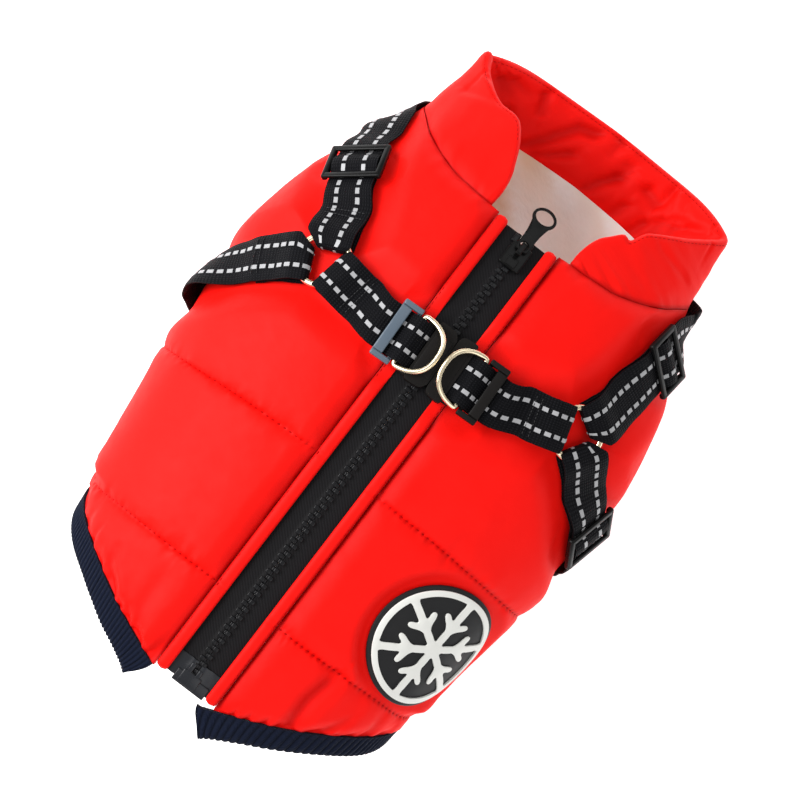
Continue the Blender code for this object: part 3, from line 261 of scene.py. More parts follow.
def noise(x, y, seed):
    """Smooth noise from -1 to 1, the same for the same seed."""
    table = np.random.RandomState(seed).uniform(-1.0, 1.0, (64, 64))
    x, y = np.broadcast_arrays(np.asarray(x, float), np.asarray(y, float))
    left = np.floor(x).astype(int)
    low = np.floor(y).astype(int)
    right = smooth(x - left)
    up = smooth(y - low)
    first = mix(table[left % 64, low % 64], table[(left + 1) % 64, low % 64], right)
    second = mix(table[left % 64, (low + 1) % 64], table[(left + 1) % 64, (low + 1) % 64], right)
    return mix(first, second, up)


def puckers(along_line, away, seed, pitch, reach, height, lean=0.0):
    """Ridges across a stitched line, uneven in spacing, reach and height, on both its sides."""
    total = 0.0
    for side in (-1, 1):
        out = np.maximum(away * side, 0.0)
        place = along_line + lean * side * out + 2.0 * noise(along_line / 21.0, out / 30.0, seed + 5)
        local = reach * (0.75 + 0.55 * noise(along_line / (1.9 * pitch), 0.5, seed + side + 9))
        ridge = noise(place / pitch, out / (3.0 * reach), seed + side)
        fade = np.exp(-(out / local) ** 1.25) * np.minimum(out / 1.1, 1.0)
        total = total + np.where(away * side > 0.0, ridge * fade, 0.0)
    return height * total


class Route:
    """A line over the envelope through waypoints (around, along), measured by its length."""

    STEPS = 12

    def __init__(self, waypoints):
        rows = np.column_stack((np.arange(len(waypoints)), np.array(waypoints)))
        count = (len(rows) - 1) * self.STEPS
        self.places = spline_rows(rows, np.arange(count + 1) / self.STEPS)
        self.points = envelope(self.places[:, 0], self.places[:, 1])
        self.lengths = run_along(self.points)
        self.length = self.lengths[-1]
        self.flats = []

    def place(self, distance):
        distance = np.asarray(distance, float)
        index = np.clip(np.searchsorted(self.lengths, distance) - 1, 0, len(self.lengths) - 2)
        span = self.lengths[index + 1] - self.lengths[index]
        share = (distance - self.lengths[index]) / span
        return mix(self.places[index], self.places[index + 1], share[..., None])

    def distance_to(self, across):
        return self.lengths[np.argmin(np.abs(self.points[:, 0] - across))]

    def frame(self, distance):
        distance = np.asarray(distance, float)
        place = self.place(distance)
        back = self.place(distance - 2.0)
        ahead = self.place(distance + 2.0)
        outward = normal(place[..., 0], place[..., 1])
        forward = envelope(ahead[..., 0], ahead[..., 1]) - envelope(back[..., 0], back[..., 1])
        sideways = unit(np.cross(outward, forward))
        forward = unit(np.cross(sideways, outward))
        return envelope(place[..., 0], place[..., 1]), forward, sideways, outward

    def add_flat(self, start, end, at, fade=11.0):
        """Let a stretch of the line lie in one plane, where stiff parts sit on it."""
        self.flats.append((start, end, at, fade, self.frame(at)))

    def on_cloth(self, distance, side, height):
        """Points at true distances beside the line, over the cloth."""
        place = self.place(distance)
        around = place[..., 0]
        along = place[..., 1]
        _, _, sideways, _ = self.frame(distance)
        turn, run = slopes(around, along)
        turn_square = np.sum(turn * turn, -1)
        run_square = np.sum(run * run, -1)
        cross = np.sum(turn * run, -1)
        turn_share = np.sum(turn * sideways, -1)
        run_share = np.sum(run * sideways, -1)
        divisor = turn_square * run_square - cross * cross
        d_around = (turn_share * run_square - run_share * cross) / divisor
        d_along = (run_share * turn_square - turn_share * cross) / divisor
        around = around + d_around * side
        along = along + d_along * side
        return envelope(around, along) + normal(around, along) * height[..., None]

    def point(self, distance, side, height):
        distance, side, height = np.broadcast_arrays(distance, side, height)
        cloth = self.on_cloth(distance, side, height)
        result = cloth
        for start, end, at, fade, (centre, forward, sideways, outward) in self.flats:
            outside = np.maximum(np.maximum(start - distance, distance - end), 0.0)
            share = 1.0 - smooth(outside / fade)
            flat = centre + forward * (distance - at)[..., None] + sideways * side[..., None]
            flat = flat + outward * height[..., None]
            result = result + (flat - cloth) * share[..., None]
        result[..., 2] = np.maximum(result[..., 2], 0.0)
        return result

    def matrix(self, distance, height=0.0):
        centre, forward, sideways, outward = self.frame(distance)
        for start, end, at, _, (middle, ahead, beside, up) in self.flats:
            if start <= distance <= end:
                centre = middle + ahead * (distance - at)
                forward, sideways, outward = ahead, beside, up
        return axes_matrix(centre + outward * height, forward, sideways, outward)


def axes_matrix(centre, first, second, third):
    result = Matrix((first, second, third)).transposed().to_4x4()
    result.translation = Vector((centre + MOVE) * MM)
    return result


RING_LEFT_PLACE = (float(around_at(-56.6, 45.8)), 45.8)
RING_RIGHT_PLACE = (float(around_at(60.9, 52.0)), 52.0)
RING_RIGHT_BACK = (RING_RIGHT_PLACE[0] - 360.0, RING_RIGHT_PLACE[1])
NECK = Route((
    RING_LEFT_PLACE, (-47.0, 66.0), (-63.0, 86.0), (-82.0, 105.0), (-105.0, 113.5),
    (-140.0, 116.0), (-180.0, 117.0), (-220.0, 116.0), (-255.0, 113.5), (-278.0, 106.0),
    (-294.0, 93.0), (-305.0, 74.0), RING_RIGHT_BACK,
))
GIRTH = Route((
    RING_LEFT_PLACE, (-55.0, 34.5), (-76.0, 19.0), (-98.0, 9.0), (-140.0, 5.0), (-180.0, 6.0),
    (-220.0, 7.5), (-256.0, 12.0), (-277.0, 19.0), (-297.0, 33.0), RING_RIGHT_BACK,
))
CROSS_PLACES = ((-38.0, 43.2), (-16.0, 41.8), (2.5, 41.7), (22.0, 43.2), (41.0, 47.0))
CROSS = Route(
    [RING_LEFT_PLACE]
    + [(float(around_at(across, along)), along) for across, along in CROSS_PLACES]
    + [RING_RIGHT_PLACE]
)
BUCKLE_AT = CROSS.distance_to(2.5)
BADGE_CENTRE = (float(around_at(66.5, -49.0)), -49.0)
GLIDE_NECK_LEFT = 44.5
GLIDE_NECK_RIGHT = NECK.length - 51.0
GLIDE_GIRTH_RIGHT = GIRTH.length - 46.0
GLIDES = (
    ("glide_neck_left", NECK, GLIDE_NECK_LEFT),
    ("glide_neck_right", NECK, GLIDE_NECK_RIGHT),
    ("glide_girth_right", GIRTH, GLIDE_GIRTH_RIGHT),
)
for route in (NECK, GIRTH, CROSS):
    route.add_flat(-30.0, 15.0, 0.0)
    route.add_flat(route.length - 15.0, route.length + 30.0, route.length)
for _, route, middle in GLIDES:
    route.add_flat(middle - 10.5, middle + 10.5, middle)
CROSS.add_flat(BUCKLE_AT - 27.0, BUCKLE_AT + 27.0, BUCKLE_AT, fade=12.0)

# What presses the padding down: points, how far it reaches, and the slope beside it.
PRESSES = [(route.points, 10.2, 14.0) for route in (NECK, GIRTH, CROSS)]
BUCKLE_SPOTS = np.array([CROSS.frame(BUCKLE_AT + shift)[0] for shift in (-16.0, -8.0, 0.0, 8.0, 16.0)])
PRESSES.append((BUCKLE_SPOTS, 15.5, 10.0))
PRESSES.append((np.array([route.frame(middle)[0] for _, route, middle in GLIDES]), 14.0, 9.0))
BADGE_POINT = envelope(*BADGE_CENTRE)


def pressed(points, puff):
    """The height of the padding, pressed down under straps, buckle and glides, and by the badge."""
    share = np.ones(points.shape[:-1])
    for places, reach, slope in PRESSES:
        away = np.full(points.shape[:-1], 1000.0)
        for place in places:
            away = np.minimum(away, np.linalg.norm(points - place, axis=-1))
        share = np.minimum(share, smooth((away - reach) / slope))
    puff = mix(np.minimum(PRESSED_PUFF, puff), puff, share)
    away = np.linalg.norm(points - BADGE_POINT, axis=-1)
    return mix(BADGE_BED, puff, smooth((away - BADGE_RADIUS - 1.0) / 6.0))


def crease(flat, along, line, width, first_depth, last_depth):
    """A soft trough with a ridge beside it, along a line of places (around, along)."""
    spots = np.array([(float(arc(*place)), place[1]) for place in line])
    runs = np.linalg.norm(np.diff(spots, axis=0), axis=1)
    nearest = np.full(flat.shape, 1000.0)
    side = np.zeros(flat.shape)
    share = np.zeros(flat.shape)
    passed = 0.0
    for start, end, run in zip(spots, spots[1:], runs):
        ahead = (end - start) / run
        out_flat = flat - start[0]
        out_along = along - start[1]
        at = np.clip(out_flat * ahead[0] + out_along * ahead[1], 0.0, run)
        away = np.hypot(out_flat - at * ahead[0], out_along - at * ahead[1])
        closer = away < nearest
        nearest = np.where(closer, away, nearest)
        side = np.where(closer, np.sign(out_flat * ahead[1] - out_along * ahead[0]), side)
        share = np.where(closer, (passed + at) / runs.sum(), share)
        passed += run
    ridge = 0.4 * bell(nearest * side - 2.0 * width, 1.4 * width)
    return mix(first_depth, last_depth, share) * (ridge - bell(nearest, width))


def creased(flat, along, lines):
    """The sum of creases: lines of places, with their width and depth at both ends."""
    total = 0.0
    for line, width, first_depth, last_depth in lines:
        total = total + crease(flat, along, line, width, first_depth, last_depth)
    return total


# Painted shade: the cloth is coloured darker in the troughs of its creases, where shade falls.
def painted_crease_shade(total):
    return np.clip(-0.30 * total, 0.0, 0.55)


# Gathers at the hem beside the zip: their line up from the seam, width and depth at both ends.
GATHERS = (
    (((-56.5, -99.0), (-55.3, -94.0), (-53.6, -87.7)), 1.4, 1.1, 0.2),
    (((-37.0, -107.6), (-38.6, -104.0), (-42.3, -100.1), (-43.4, -92.7)), 2.0, 1.8, 0.5),
    (((-27.0, -112.4), (-28.7, -107.5)), 1.3, 1.2, 0.2),
    (((-19.4, -116.2), (-22.3, -113.5)), 1.2, 1.3, 0.3),
    (((-23.4, -114.2), (-24.7, -104.2), (-24.5, -89.8)), 3.5, 0.8, 0.3),
    (((-14.2, -117.6), (-13.2, -109.5)), 2.0, 1.4, 0.3),
    (((-32.0, -110.0), (-33.0, -106.0)), 1.1, 0.9, 0.1),
    (((-47.0, -103.5), (-46.0, -98.5)), 1.3, 1.0, 0.2),
    (((-66.0, -94.5), (-62.0, -86.0)), 1.8, 1.1, 0.2),
    (((17.5, -117.4), (17.4, -113.0)), 1.1, 1.2, 0.2),
    (((21.8, -115.5), (21.6, -111.5)), 1.1, 1.2, 0.2),
    (((26.9, -113.0), (27.0, -109.0)), 1.2, 1.1, 0.2),
    (((31.1, -111.0), (31.0, -107.5)), 1.1, 1.0, 0.2),
    (((35.0, -109.4), (33.4, -104.0), (32.8, -94.3), (34.4, -80.5)), 3.2, 1.7, 1.5),
    (((42.0, -106.0), (44.8, -101.5), (48.6, -92.0)), 2.2, 1.6, 0.4),
    (((54.6, -100.0), (57.6, -93.5)), 1.6, 1.3, 0.3),
    (((63.7, -95.5), (59.9, -82.7)), 2.6, 0.9, 0.3),
    (((70.0, -92.5), (73.0, -86.0)), 1.5, 1.1, 0.2),
)
STITCH_PITCH = 2.7


def stitch_phase(flat):
    """Whole numbers at the needle holes of a quilted line."""
    return (flat + 0.35 * noise(flat / 5.0, 0.3, 15)) / STITCH_PITCH


def rise(away, reach, power=2.3):
    """From 0 at a seam to 1 at the full height of the padding."""
    return 1.0 - (1.0 - np.clip(away / reach, 0.0, 1.0)) ** power


def shell_height(around, along, from_edge):
    """The height of the quilted cloth over the envelope."""
    flat = arc(around, along)
    fold = fold_angle(around)
    hem, low, high, neck = (edge(around, name) for name in (HEM, LOW_QUILT, HIGH_QUILT, NECK_LINE))
    quilt_line = np.minimum(np.abs(along - low), np.abs(along - high))
    seam_line = np.minimum(along - hem, neck - along)
    width = mix(low - hem, 60.0, smooth((along - low) / 16.0))
    puff = mix(PUFFS[0], PUFFS[1], smooth((along - low) / 18.0 + 0.5))
    puff = mix(puff, PUFFS[2], smooth((along - high) / 18.0 + 0.5)) * np.minimum(width / 20.0, 1.0)
    flank = smooth((fold - 52.0) / 20.0)
    valley = mix(0.36, 0.24, flank)
    full = (1.0 - valley * (1.0 - rise(quilt_line, 8.0))) * (0.2 + 0.8 * rise(seam_line, 10.0))
    full = full * (0.06 + 0.94 * rise(from_edge, 10.0, 2.0))
    billow = 0.6 * noise(flat / 33.0, along / 41.0, 3) + 0.3 * noise(flat / 14.0, along / 19.0, 4)
    billow += 0.08 * noise(flat / 5.0, along / 5.0, 5)
    height = (puff + billow) * full
    holes = (0.5 + 0.5 * np.cos(2.0 * np.pi * stitch_phase(flat))) ** 2
    height -= bell(quilt_line, 0.9) * (0.3 + 0.7 * holes) * full * (1.0 - 0.3 * flank)
    front = 1.0 - 0.5 * smooth((fold - 60.0) / 25.0)
    height += front * puckers(flat, along - high, 14, 1.25, 2.2, 0.5)
    height += front * puckers(flat, along - low, 34, 1.25, 2.4, 0.55)
    height += front * puckers(flat, along - high, 11, 3.1, 4.2, 0.6)
    height += puckers(flat, along - high, 21, 7.5, 14.0, 0.3, 0.25)
    height += front * puckers(flat, along - low, 31, 3.1, 4.6, 0.65)
    height += puckers(flat, along - low, 41, 8.0, 13.0, 0.4, 0.35)
    side_share = smooth((fold - 62.0) / 14.0)
    height += side_share * puckers(flat, along - hem, 51, 4.4, 13.0, 1.6, 0.45)
    height += puckers(flat, along - hem, 61, 2.1, 4.0, 0.9, 0.1)
    height += puckers(flat, neck - along, 71, 3.6, 8.0, 0.7, 0.3)
    height += puckers(along, from_edge, 81, 5.5, 7.0, 0.35)
    if np.min(fold) < 90.0:
        height += 1.3 * creased(flat, along, GATHERS)
    under = smooth((fold - 90.0) / 50.0)
    height = mix(height, np.minimum(height, BELLY_PUFF), under)
    height = np.maximum(height, 0.25)
    return pressed(envelope(around, along), height)


def painted_seam_shade(around, along, from_edge):
    """Painted shade: how much darker the cloth is coloured in its seams, grooves, needle holes and creases,
    where shade falls, from 0 to 1.
    """
    flat = arc(around, along)
    hem, low, high, neck = (edge(around, name) for name in (HEM, LOW_QUILT, HIGH_QUILT, NECK_LINE))
    line = np.minimum(np.abs(along - low), np.abs(along - high))
    holes = (0.5 + 0.5 * np.cos(2.0 * np.pi * stitch_phase(flat))) ** 2
    # Painted shade along the quilted lines, darkest at the needle holes.
    shade = bell(line, 0.95) * (0.2 + 0.65 * holes)
    # Painted shade in the groove at the piece's edges, and a wider one where the panel rolls down to the welt
    # beside the zip.
    beside_zip = 1.0 - smooth((fold_angle(around) - 25.0) / 15.0)
    shade = np.maximum(shade, 0.9 * bell(from_edge, 1.7))
    shade = np.maximum(shade, 0.42 * beside_zip * np.exp(-(from_edge / 5.5) ** 1.4))
    # Painted shade in the troughs of the hem's gathers.
    shade = np.maximum(shade, painted_crease_shade(creased(flat, along, GATHERS)) * smooth((-80.0 - along) / 6.0))
    # Painted shade at the hem and neck seams.
    seam = np.minimum(along - hem, neck - along)
    return np.maximum(shade, 0.6 * bell(seam, 1.3))


def to_metres(points):
    return (points + MOVE) * MM


def make_mesh(name, points, faces, look, body="vest", uv=None, angle=40.0, keep=False, shade=None):
    """A piece from points in millimetres and a list of face arrays, with a painted shade for each point."""
    mesh = bpy.data.meshes.new(name)
    points = points.reshape(-1, 3)
    mesh.vertices.add(len(points))
    mesh.vertices.foreach_set("co", (points if keep else to_metres(points)).ravel())
    corners = np.concatenate([face.ravel() for face in faces])
    sizes = np.concatenate([np.full(len(face), face.shape[1]) for face in faces])
    mesh.loops.add(len(corners))
    mesh.loops.foreach_set("vertex_index", corners.astype(np.int32))
    mesh.polygons.add(len(sizes))
    starts = np.concatenate(([0], np.cumsum(sizes)[:-1])).astype(np.int32)
    mesh.polygons.foreach_set("loop_start", starts)
    mesh.update(calc_edges=True)
    if uv is not None:
        layer = mesh.uv_layers.new(name="cloth")
        layer.data.foreach_set("uv", uv.reshape(-1, 2)[corners].astype(np.float32).ravel())
    # The painted shade, stored on the points for the looks to darken the colour by.
    if shade is not None:
        layer = mesh.attributes.new("shade", "FLOAT", "POINT")
        layer.data.foreach_set("value", shade.ravel().astype(np.float32))
    mesh.validate()
    mesh.shade_smooth()
    mesh.set_sharp_from_angle(angle=math.radians(angle))
    made = bpy.data.objects.new(name, mesh)
    mesh.materials.append(look)
    bpy.context.collection.objects.link(made)
    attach(made, body)
    return made


def grid_faces(rows, columns, closed=False):
    row = np.arange(rows - 1)[:, None] * columns
    column = np.arange(columns if closed else columns - 1)[None, :]
    after = (column + 1) % columns
    quads = (row + column, row + after, row + after + columns, row + column + columns)
    return np.stack(np.broadcast_arrays(*quads), -1).reshape(-1, 4)


def sheet_parts(outer, inner, uv):
    """Points, faces and UVs of a closed wall between two grids of points."""
    rows, columns = outer.shape[:2]
    count = rows * columns
    top = grid_faces(rows, columns)
    low = top[:, ::-1] + count
    index = np.arange(count).reshape(rows, columns)
    loop = np.concatenate((index[0], index[1:, -1], index[-1, -2::-1], index[-2:0:-1, 0], index[0, :1]))
    rim = np.stack((loop[1:], loop[:-1], loop[:-1] + count, loop[1:] + count), -1)
    points = np.concatenate((outer.reshape(-1, 3), inner.reshape(-1, 3)))
    return points, np.concatenate((top, low, rim)), np.concatenate((uv.reshape(-1, 2),) * 2)


def wall(around, along, outer, inner, uv):
    """The closed wall between two heights over the same places on the cloth."""
    return sheet_parts(lifted(around, along, outer), lifted(around, along, inner), uv)


def joined(parts):
    """Several (points, faces, uv) as one."""
    points, faces, uvs = [], [], []
    count = 0
    for some_points, some_faces, some_uv in parts:
        points.append(some_points.reshape(-1, 3))
        faces.append(some_faces + count)
        uvs.append(some_uv.reshape(-1, 2))
        count += len(points[-1])
    return np.concatenate(points), np.concatenate(faces), np.concatenate(uvs)


def tube_parts(rings, uv, closed=False):
    """Points, faces and UVs of a tube skinned over rings, with pinched ends unless closed."""
    rows, columns = rings.shape[:2]
    if closed:
        rings = np.concatenate((rings, rings[:1]))
        uv = np.concatenate((uv, uv[:1]))
        rows += 1
    faces = grid_faces(rows, columns, closed=True)
    points = rings.reshape(-1, 3)
    uv = uv.reshape(-1, 2)
    if not closed:
        middles = np.stack((rings[0].mean(0), rings[-1].mean(0)))
        ends = np.stack((uv[0], uv[-1]))
        points = np.concatenate((points, middles))
        uv = np.concatenate((uv, ends))
        count = rows * columns
        edge_index = np.arange(columns)
        after = (edge_index + 1) % columns
        start = np.stack((after, edge_index, np.full(columns, count)), -1)
        base = (rows - 1) * columns
        end = np.stack((base + edge_index, base + after, np.full(columns, count + 1)), -1)
        return points, [faces, start, end], uv
    return points, [faces], uv


# Materials.

def feed(look, node, sockets):
    """Set inputs of a shader node to values or link them to outputs, and give the node back."""
    for name, value in sockets.items():
        if isinstance(value, bpy.types.NodeSocket):
            look.node_tree.links.new(value, node.inputs[name])
        else:
            node.inputs[name].default_value = value
    return node


def new_node(look, kind):
    return look.node_tree.nodes.new("ShaderNode" + kind)


def shader_of(look):
    return look.node_tree.nodes["Principled BSDF"]


def new_look(name, colour, roughness, **sockets):
    """A material; the sockets' names have _ for a space."""
    look = bpy.data.materials.new(name)
    look.use_nodes = True
    feed(look, shader_of(look), {"Base Color": (*colour, 1.0), "Roughness": roughness})
    feed(look, shader_of(look), {key.replace("_", " "): value for key, value in sockets.items()})
    look.diffuse_color = (*colour, 1.0)
    return look


def coordinates(look, kind):
    return new_node(look, "TexCoord").outputs[kind]


def noise_node(look, where, scale, detail):
    sockets = {"Scale": scale, "Detail": detail, "Vector": where}
    return feed(look, new_node(look, "TexNoise"), sockets).outputs["Fac"]


# The wave texture's period at scale 1.
WAVE_PERIOD = 0.31416


def wave_node(look, where, period, direction, distortion=0.0):
    node = new_node(look, "TexWave")
    node.bands_direction = direction
    node.wave_profile = "SIN"
    sockets = {"Scale": WAVE_PERIOD / period, "Distortion": distortion, "Vector": where}
    return feed(look, node, sockets).outputs["Fac"]


def product(look, first, second):
    node = new_node(look, "Math")
    node.operation = "MULTIPLY"
    return feed(look, node, {0: first, 1: second}).outputs[0]


def mix_colours(look, share, first, second):
    """Mix two colours, or with None for the first what the look has already, into its colour."""
    shader = shader_of(look)
    first = (*first, 1.0) if first else shader.inputs["Base Color"].links[0].from_socket
    node = new_node(look, "Mix")
    node.data_type = "RGBA"
    feed(look, node, {0: share, 6: first, 7: (*second, 1.0)})
    feed(look, shader, {"Base Color": node.outputs[2]})


# The painted shade stored on a piece's points, as the attribute shade.
def painted_shade_node(look):
    node = new_node(look, "Attribute")
    node.attribute_name = "shade"
    return node.outputs["Fac"]


def add_bump(look, height, strength, depth):
    """A bump of a depth in millimetres, over any that the look has already."""
    shader = shader_of(look)
    sockets = {"Strength": strength, "Distance": depth * MM, "Height": height}
    node = feed(look, new_node(look, "Bump"), sockets)
    if shader.inputs["Normal"].is_linked:
        feed(look, node, {"Normal": shader.inputs["Normal"].links[0].from_socket})
    feed(look, shader, {"Normal": node.outputs["Normal"]})


def vary_roughness(look, share, low, high):
    node = feed(look, new_node(look, "MapRange"), {"To Min": low, "To Max": high, "Value": share})
    feed(look, shader_of(look), {"Roughness": node.outputs[0]})


def nylon_look(name, light, deep):
    look = new_look(name, light, 0.5, Sheen_Weight=0.03, Sheen_Roughness=0.4, Specular_IOR_Level=0.10)
    feed(look, shader_of(look), {"Sheen Tint": (1.0, 0.25, 0.22, 1.0)})
    flat = coordinates(look, "UV")
    mix_colours(look, noise_node(look, flat, 0.06, 3.0), light, deep)
    # Painted shade: the red turns deep where the piece's painted shade is high, in seams, grooves and
    # creases.
    mix_colours(look, painted_shade_node(look), None, (0.36, 0.0, 0.0))
    vary_roughness(look, noise_node(look, flat, 0.16, 2.0), 0.48, 0.62)
    add_bump(look, noise_node(look, flat, 0.30, 4.0), 0.3, 0.4)
    weave = product(look, wave_node(look, flat, 0.55, "X"), wave_node(look, flat, 0.5, "Y"))
    add_bump(look, weave, 0.25, 0.05)
    return look


def webbing_look():
    look = new_look("webbing", (0.006, 0.006, 0.007), 0.62, Sheen_Weight=0.01, Specular_IOR_Level=0.07)
    flat = coordinates(look, "UV")
    ribs = wave_node(look, flat, 1.25, "X", 0.6)
    cords = wave_node(look, flat, 1.0, "Y", 0.3)
    weave = product(look, ribs, cords)
    mix_colours(look, weave, (0.002, 0.002, 0.003), (0.009, 0.009, 0.011))
    add_bump(look, noise_node(look, flat, 2.2, 3.0), 0.3, 0.15)
    add_bump(look, weave, 0.9, 0.35)
    return look


def tape_look():
    look = new_look("zip_tape_weave", (0.008, 0.007, 0.007), 0.6, Sheen_Weight=0.01, Specular_IOR_Level=0.09)
    flat = coordinates(look, "UV")
    weave = wave_node(look, flat, 0.8, "DIAGONAL", 0.4)
    mix_colours(look, weave, (0.005, 0.0045, 0.005), (0.009, 0.0085, 0.0095))
    add_bump(look, weave, 0.3, 0.06)
    return look


def fleece_look():
    look = new_look("fleece", (0.96, 0.93, 0.89), 0.95, Sheen_Weight=0.3, Sheen_Roughness=0.6)
    flat = coordinates(look, "UV")
    mix_colours(look, noise_node(look, flat, 0.035, 4.0), (0.99, 0.97, 0.95), (0.96, 0.90, 0.83))
    # Painted shade and a painted warm reflected light: the fleece turns tan where the lining's painted shade
    # is high.
    mix_colours(look, painted_shade_node(look), None, (0.80, 0.58, 0.40))
    add_bump(look, noise_node(look, flat, 0.5, 5.0), 0.4, 0.5)
    add_bump(look, noise_node(look, flat, 4.5, 3.0), 0.4, 0.15)
    return look


def knit_look():
    look = new_look("navy_knit", (0.004, 0.006, 0.017), 0.85, Sheen_Weight=0.03, Specular_IOR_Level=0.10)
    flat = coordinates(look, "UV")
    loops = wave_node(look, flat, 0.9, "Y", 1.0)
    mix_colours(look, noise_node(look, flat, 0.8, 4.0), (0.003, 0.005, 0.015), (0.006, 0.010, 0.026))
    # Painted shade: the navy turns darker in the grooves between the ribs.
    mix_colours(look, painted_shade_node(look), None, (0.001, 0.002, 0.006))
    add_bump(look, loops, 0.6, 0.2)
    add_bump(look, noise_node(look, flat, 3.0, 3.0), 0.4, 0.15)
    return look


def grained_look(name, colour, roughness, scale=600.0, depth=0.05, worn=0.1, **sockets):
    look = new_look(name, colour, roughness, **sockets)
    where = coordinates(look, "Object")
    vary_roughness(look, noise_node(look, where, 0.25 * scale, 4.0), roughness - worn, roughness + worn)
    add_bump(look, noise_node(look, where, scale, 3.0), 0.4, depth)
    return look


NYLON = nylon_look("red_nylon_cloth", (0.93, 0.006, 0.003), (0.85, 0.003, 0.001))
WELT = nylon_look("red_nylon_welt", (0.90, 0.006, 0.003), (0.83, 0.003, 0.001))
FLEECE = fleece_look()
KNIT = knit_look()
WEB = webbing_look()
TAPE = tape_look()
SHINY = grained_look("black_plastic_shiny", (0.004, 0.004, 0.004), 0.28, worn=0.06, Specular_IOR_Level=0.14)
MATT = grained_look("black_plastic_matt", (0.006, 0.005, 0.0045), 0.48, depth=0.02, Specular_IOR_Level=0.14)
# A painted reflection: the left slide is the same black plastic as the right one, coloured blue-grey where
# the sky would shine on it.
PAINTED_REFLECTION_PLASTIC = grained_look("black_plastic_painted_reflection", (0.085, 0.115, 0.150), 0.34)
TEETH = grained_look("tooth_plastic", (0.004, 0.004, 0.005), 0.34, Specular_IOR_Level=0.24)
FILM = grained_look("zip_end_film", (0.012, 0.013, 0.016), 0.28, Specular_IOR_Level=0.3)
METAL = grained_look("pale_gold_metal", (0.90, 0.77, 0.54), 0.24, scale=120.0, depth=0.0004, worn=0.02,
                     Metallic=1.0)
RUBBER = grained_look("black_rubber_matt", (0.006, 0.006, 0.007), 0.5, scale=900.0, depth=0.03,
                      Specular_IOR_Level=0.25)
WHITE = grained_look("white_rubber_satin", (0.74, 0.74, 0.70), 0.45, scale=900.0, depth=0.03)
REFLECT = grained_look("reflective_yarn", (0.34, 0.34, 0.35), 0.38, scale=1800.0, depth=0.05)
THREAD = grained_look("red_thread", (0.40, 0.001, 0.001), 0.7, scale=2500.0, depth=0.03,
                      Specular_IOR_Level=0.06)
DARK_THREAD = grained_look("black_thread", (0.008, 0.008, 0.010), 0.6, scale=2500.0, depth=0.05)


def uneven(count, crowd=0.45):
    """Shares from 0 to 1, closer together at both ends."""
    share = np.arange(count + 1) / count
    return share - crowd * np.sin(2.0 * np.pi * share) / (2.0 * np.pi)


def grid_rows(counts):
    rows = [(0, 0.0)]
    for stretch, count in enumerate(counts):
        rows += [(stretch, share) for share in uneven(count)[1:]]
    return rows


def notch(along):
    share = np.clip((along - ARMHOLE_MIDDLE) / ARMHOLE_HALF_LENGTH, -1.0, 1.0)
    return ARMHOLE_HALF_ANGLE * np.sqrt(1.0 - share * share)


def along_of(around, lines, row):
    stretch, share = row
    marks = [edge(around, line) if isinstance(line, int) else line for line in lines[stretch:stretch + 2]]
    return mix(marks[0], marks[1], share)


PLACE_ROUNDS = 4
PANEL_COLUMNS = 190
BELLY_COLUMNS = 84
SIDE_CROWD = 0.35
TUCK_START = 17.5
TUCK_RUN = 5.0


def grid_places(rows, lines, first, share, ends, insets, tuck=0.0):
    """Places of a piece whose rows run between two ends: around, along, distance from its edges."""
    last = len(rows) - 1
    hem_inset, neck_inset = insets
    places = []
    for index, row in enumerate(rows):
        inset = hem_inset if index == 0 else (-neck_inset if index == last else 0.0)
        around = first
        for _ in range(PLACE_ROUNDS):
            along = along_of(around, lines, row) + inset + 0.0 * around
            if index == last:
                along = along + tuck * smooth((around - TUCK_START) / TUCK_RUN)
            around = mix(*ends(along), share)
        flat = arc(around, along)
        places.append((around, along, np.minimum(flat - flat[0], flat[-1] - flat)))
    return [np.array(item) for item in zip(*places)]


def panel_grid(side, lines, rows, columns, start_across, insets, seam=0.3, tuck=0.0):
    """Places between the zip and the side seam; a tuck reaches up behind the collar."""
    def ends(along):
        return np.abs(around_at(side * start_across, along)), SIDE_SEAM - notch(along) - seam

    share = uneven(columns, SIDE_CROWD)
    around, along, from_edge = grid_places(
        rows, lines, mix(12.0, SIDE_SEAM, share), share, ends, insets, tuck)
    grid = [around * side, along, from_edge]
    return [item[:, ::-1] for item in grid] if side < 0.0 else grid


def belly_places(lines, rows, insets, seam=0.3):
    """Places between the two side seams, across the belly."""
    def ends(along):
        start = SIDE_SEAM + notch(along) + seam
        return start, 360.0 - start

    share = uneven(BELLY_COLUMNS, SIDE_CROWD)
    return grid_places(rows, lines, np.full(len(share), 180.0), share, ends, insets)


PANEL_LINES = (HEM, LOW_QUILT, HIGH_QUILT, ARM_LOW, ARM_HIGH, NECK_LINE)
PANEL_ROWS = grid_rows((34, 48, 46, 40, 16))
BELLY_LINES = (HEM, HIGH_QUILT, ARM_LOW, ARM_HIGH, NECK_LINE)


def flat_uv(around, along):
    return np.stack((arc(around, along), along), -1)


def quilted_piece(name, around, along, from_edge):
    height = shell_height(around, along, from_edge)
    points, faces, uv = wall(around, along, height, -SHELL_WALL, flat_uv(around, along))
    shade = np.concatenate((painted_seam_shade(around, along, from_edge).ravel(),) * 2)
    made = make_mesh(name + "_quilted", points, [faces], NYLON, uv=uv, shade=shade)
    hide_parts(name)
    return made


def make_panels():
    for name, side in (("back_left", -1.0), ("back_right", 1.0)):
        grid = panel_grid(side, PANEL_LINES, PANEL_ROWS, PANEL_COLUMNS, PLACKET_OUTER + GAP, (0.0, GAP))
        made = quilted_piece(name, *grid)


def make_belly():
    rows = grid_rows((18, 30, 36, 20))
    made = quilted_piece("belly", *belly_places(BELLY_LINES, rows, (0.0, GAP)))


LINING_START = 12.5
LINING_TUCK = 2.8


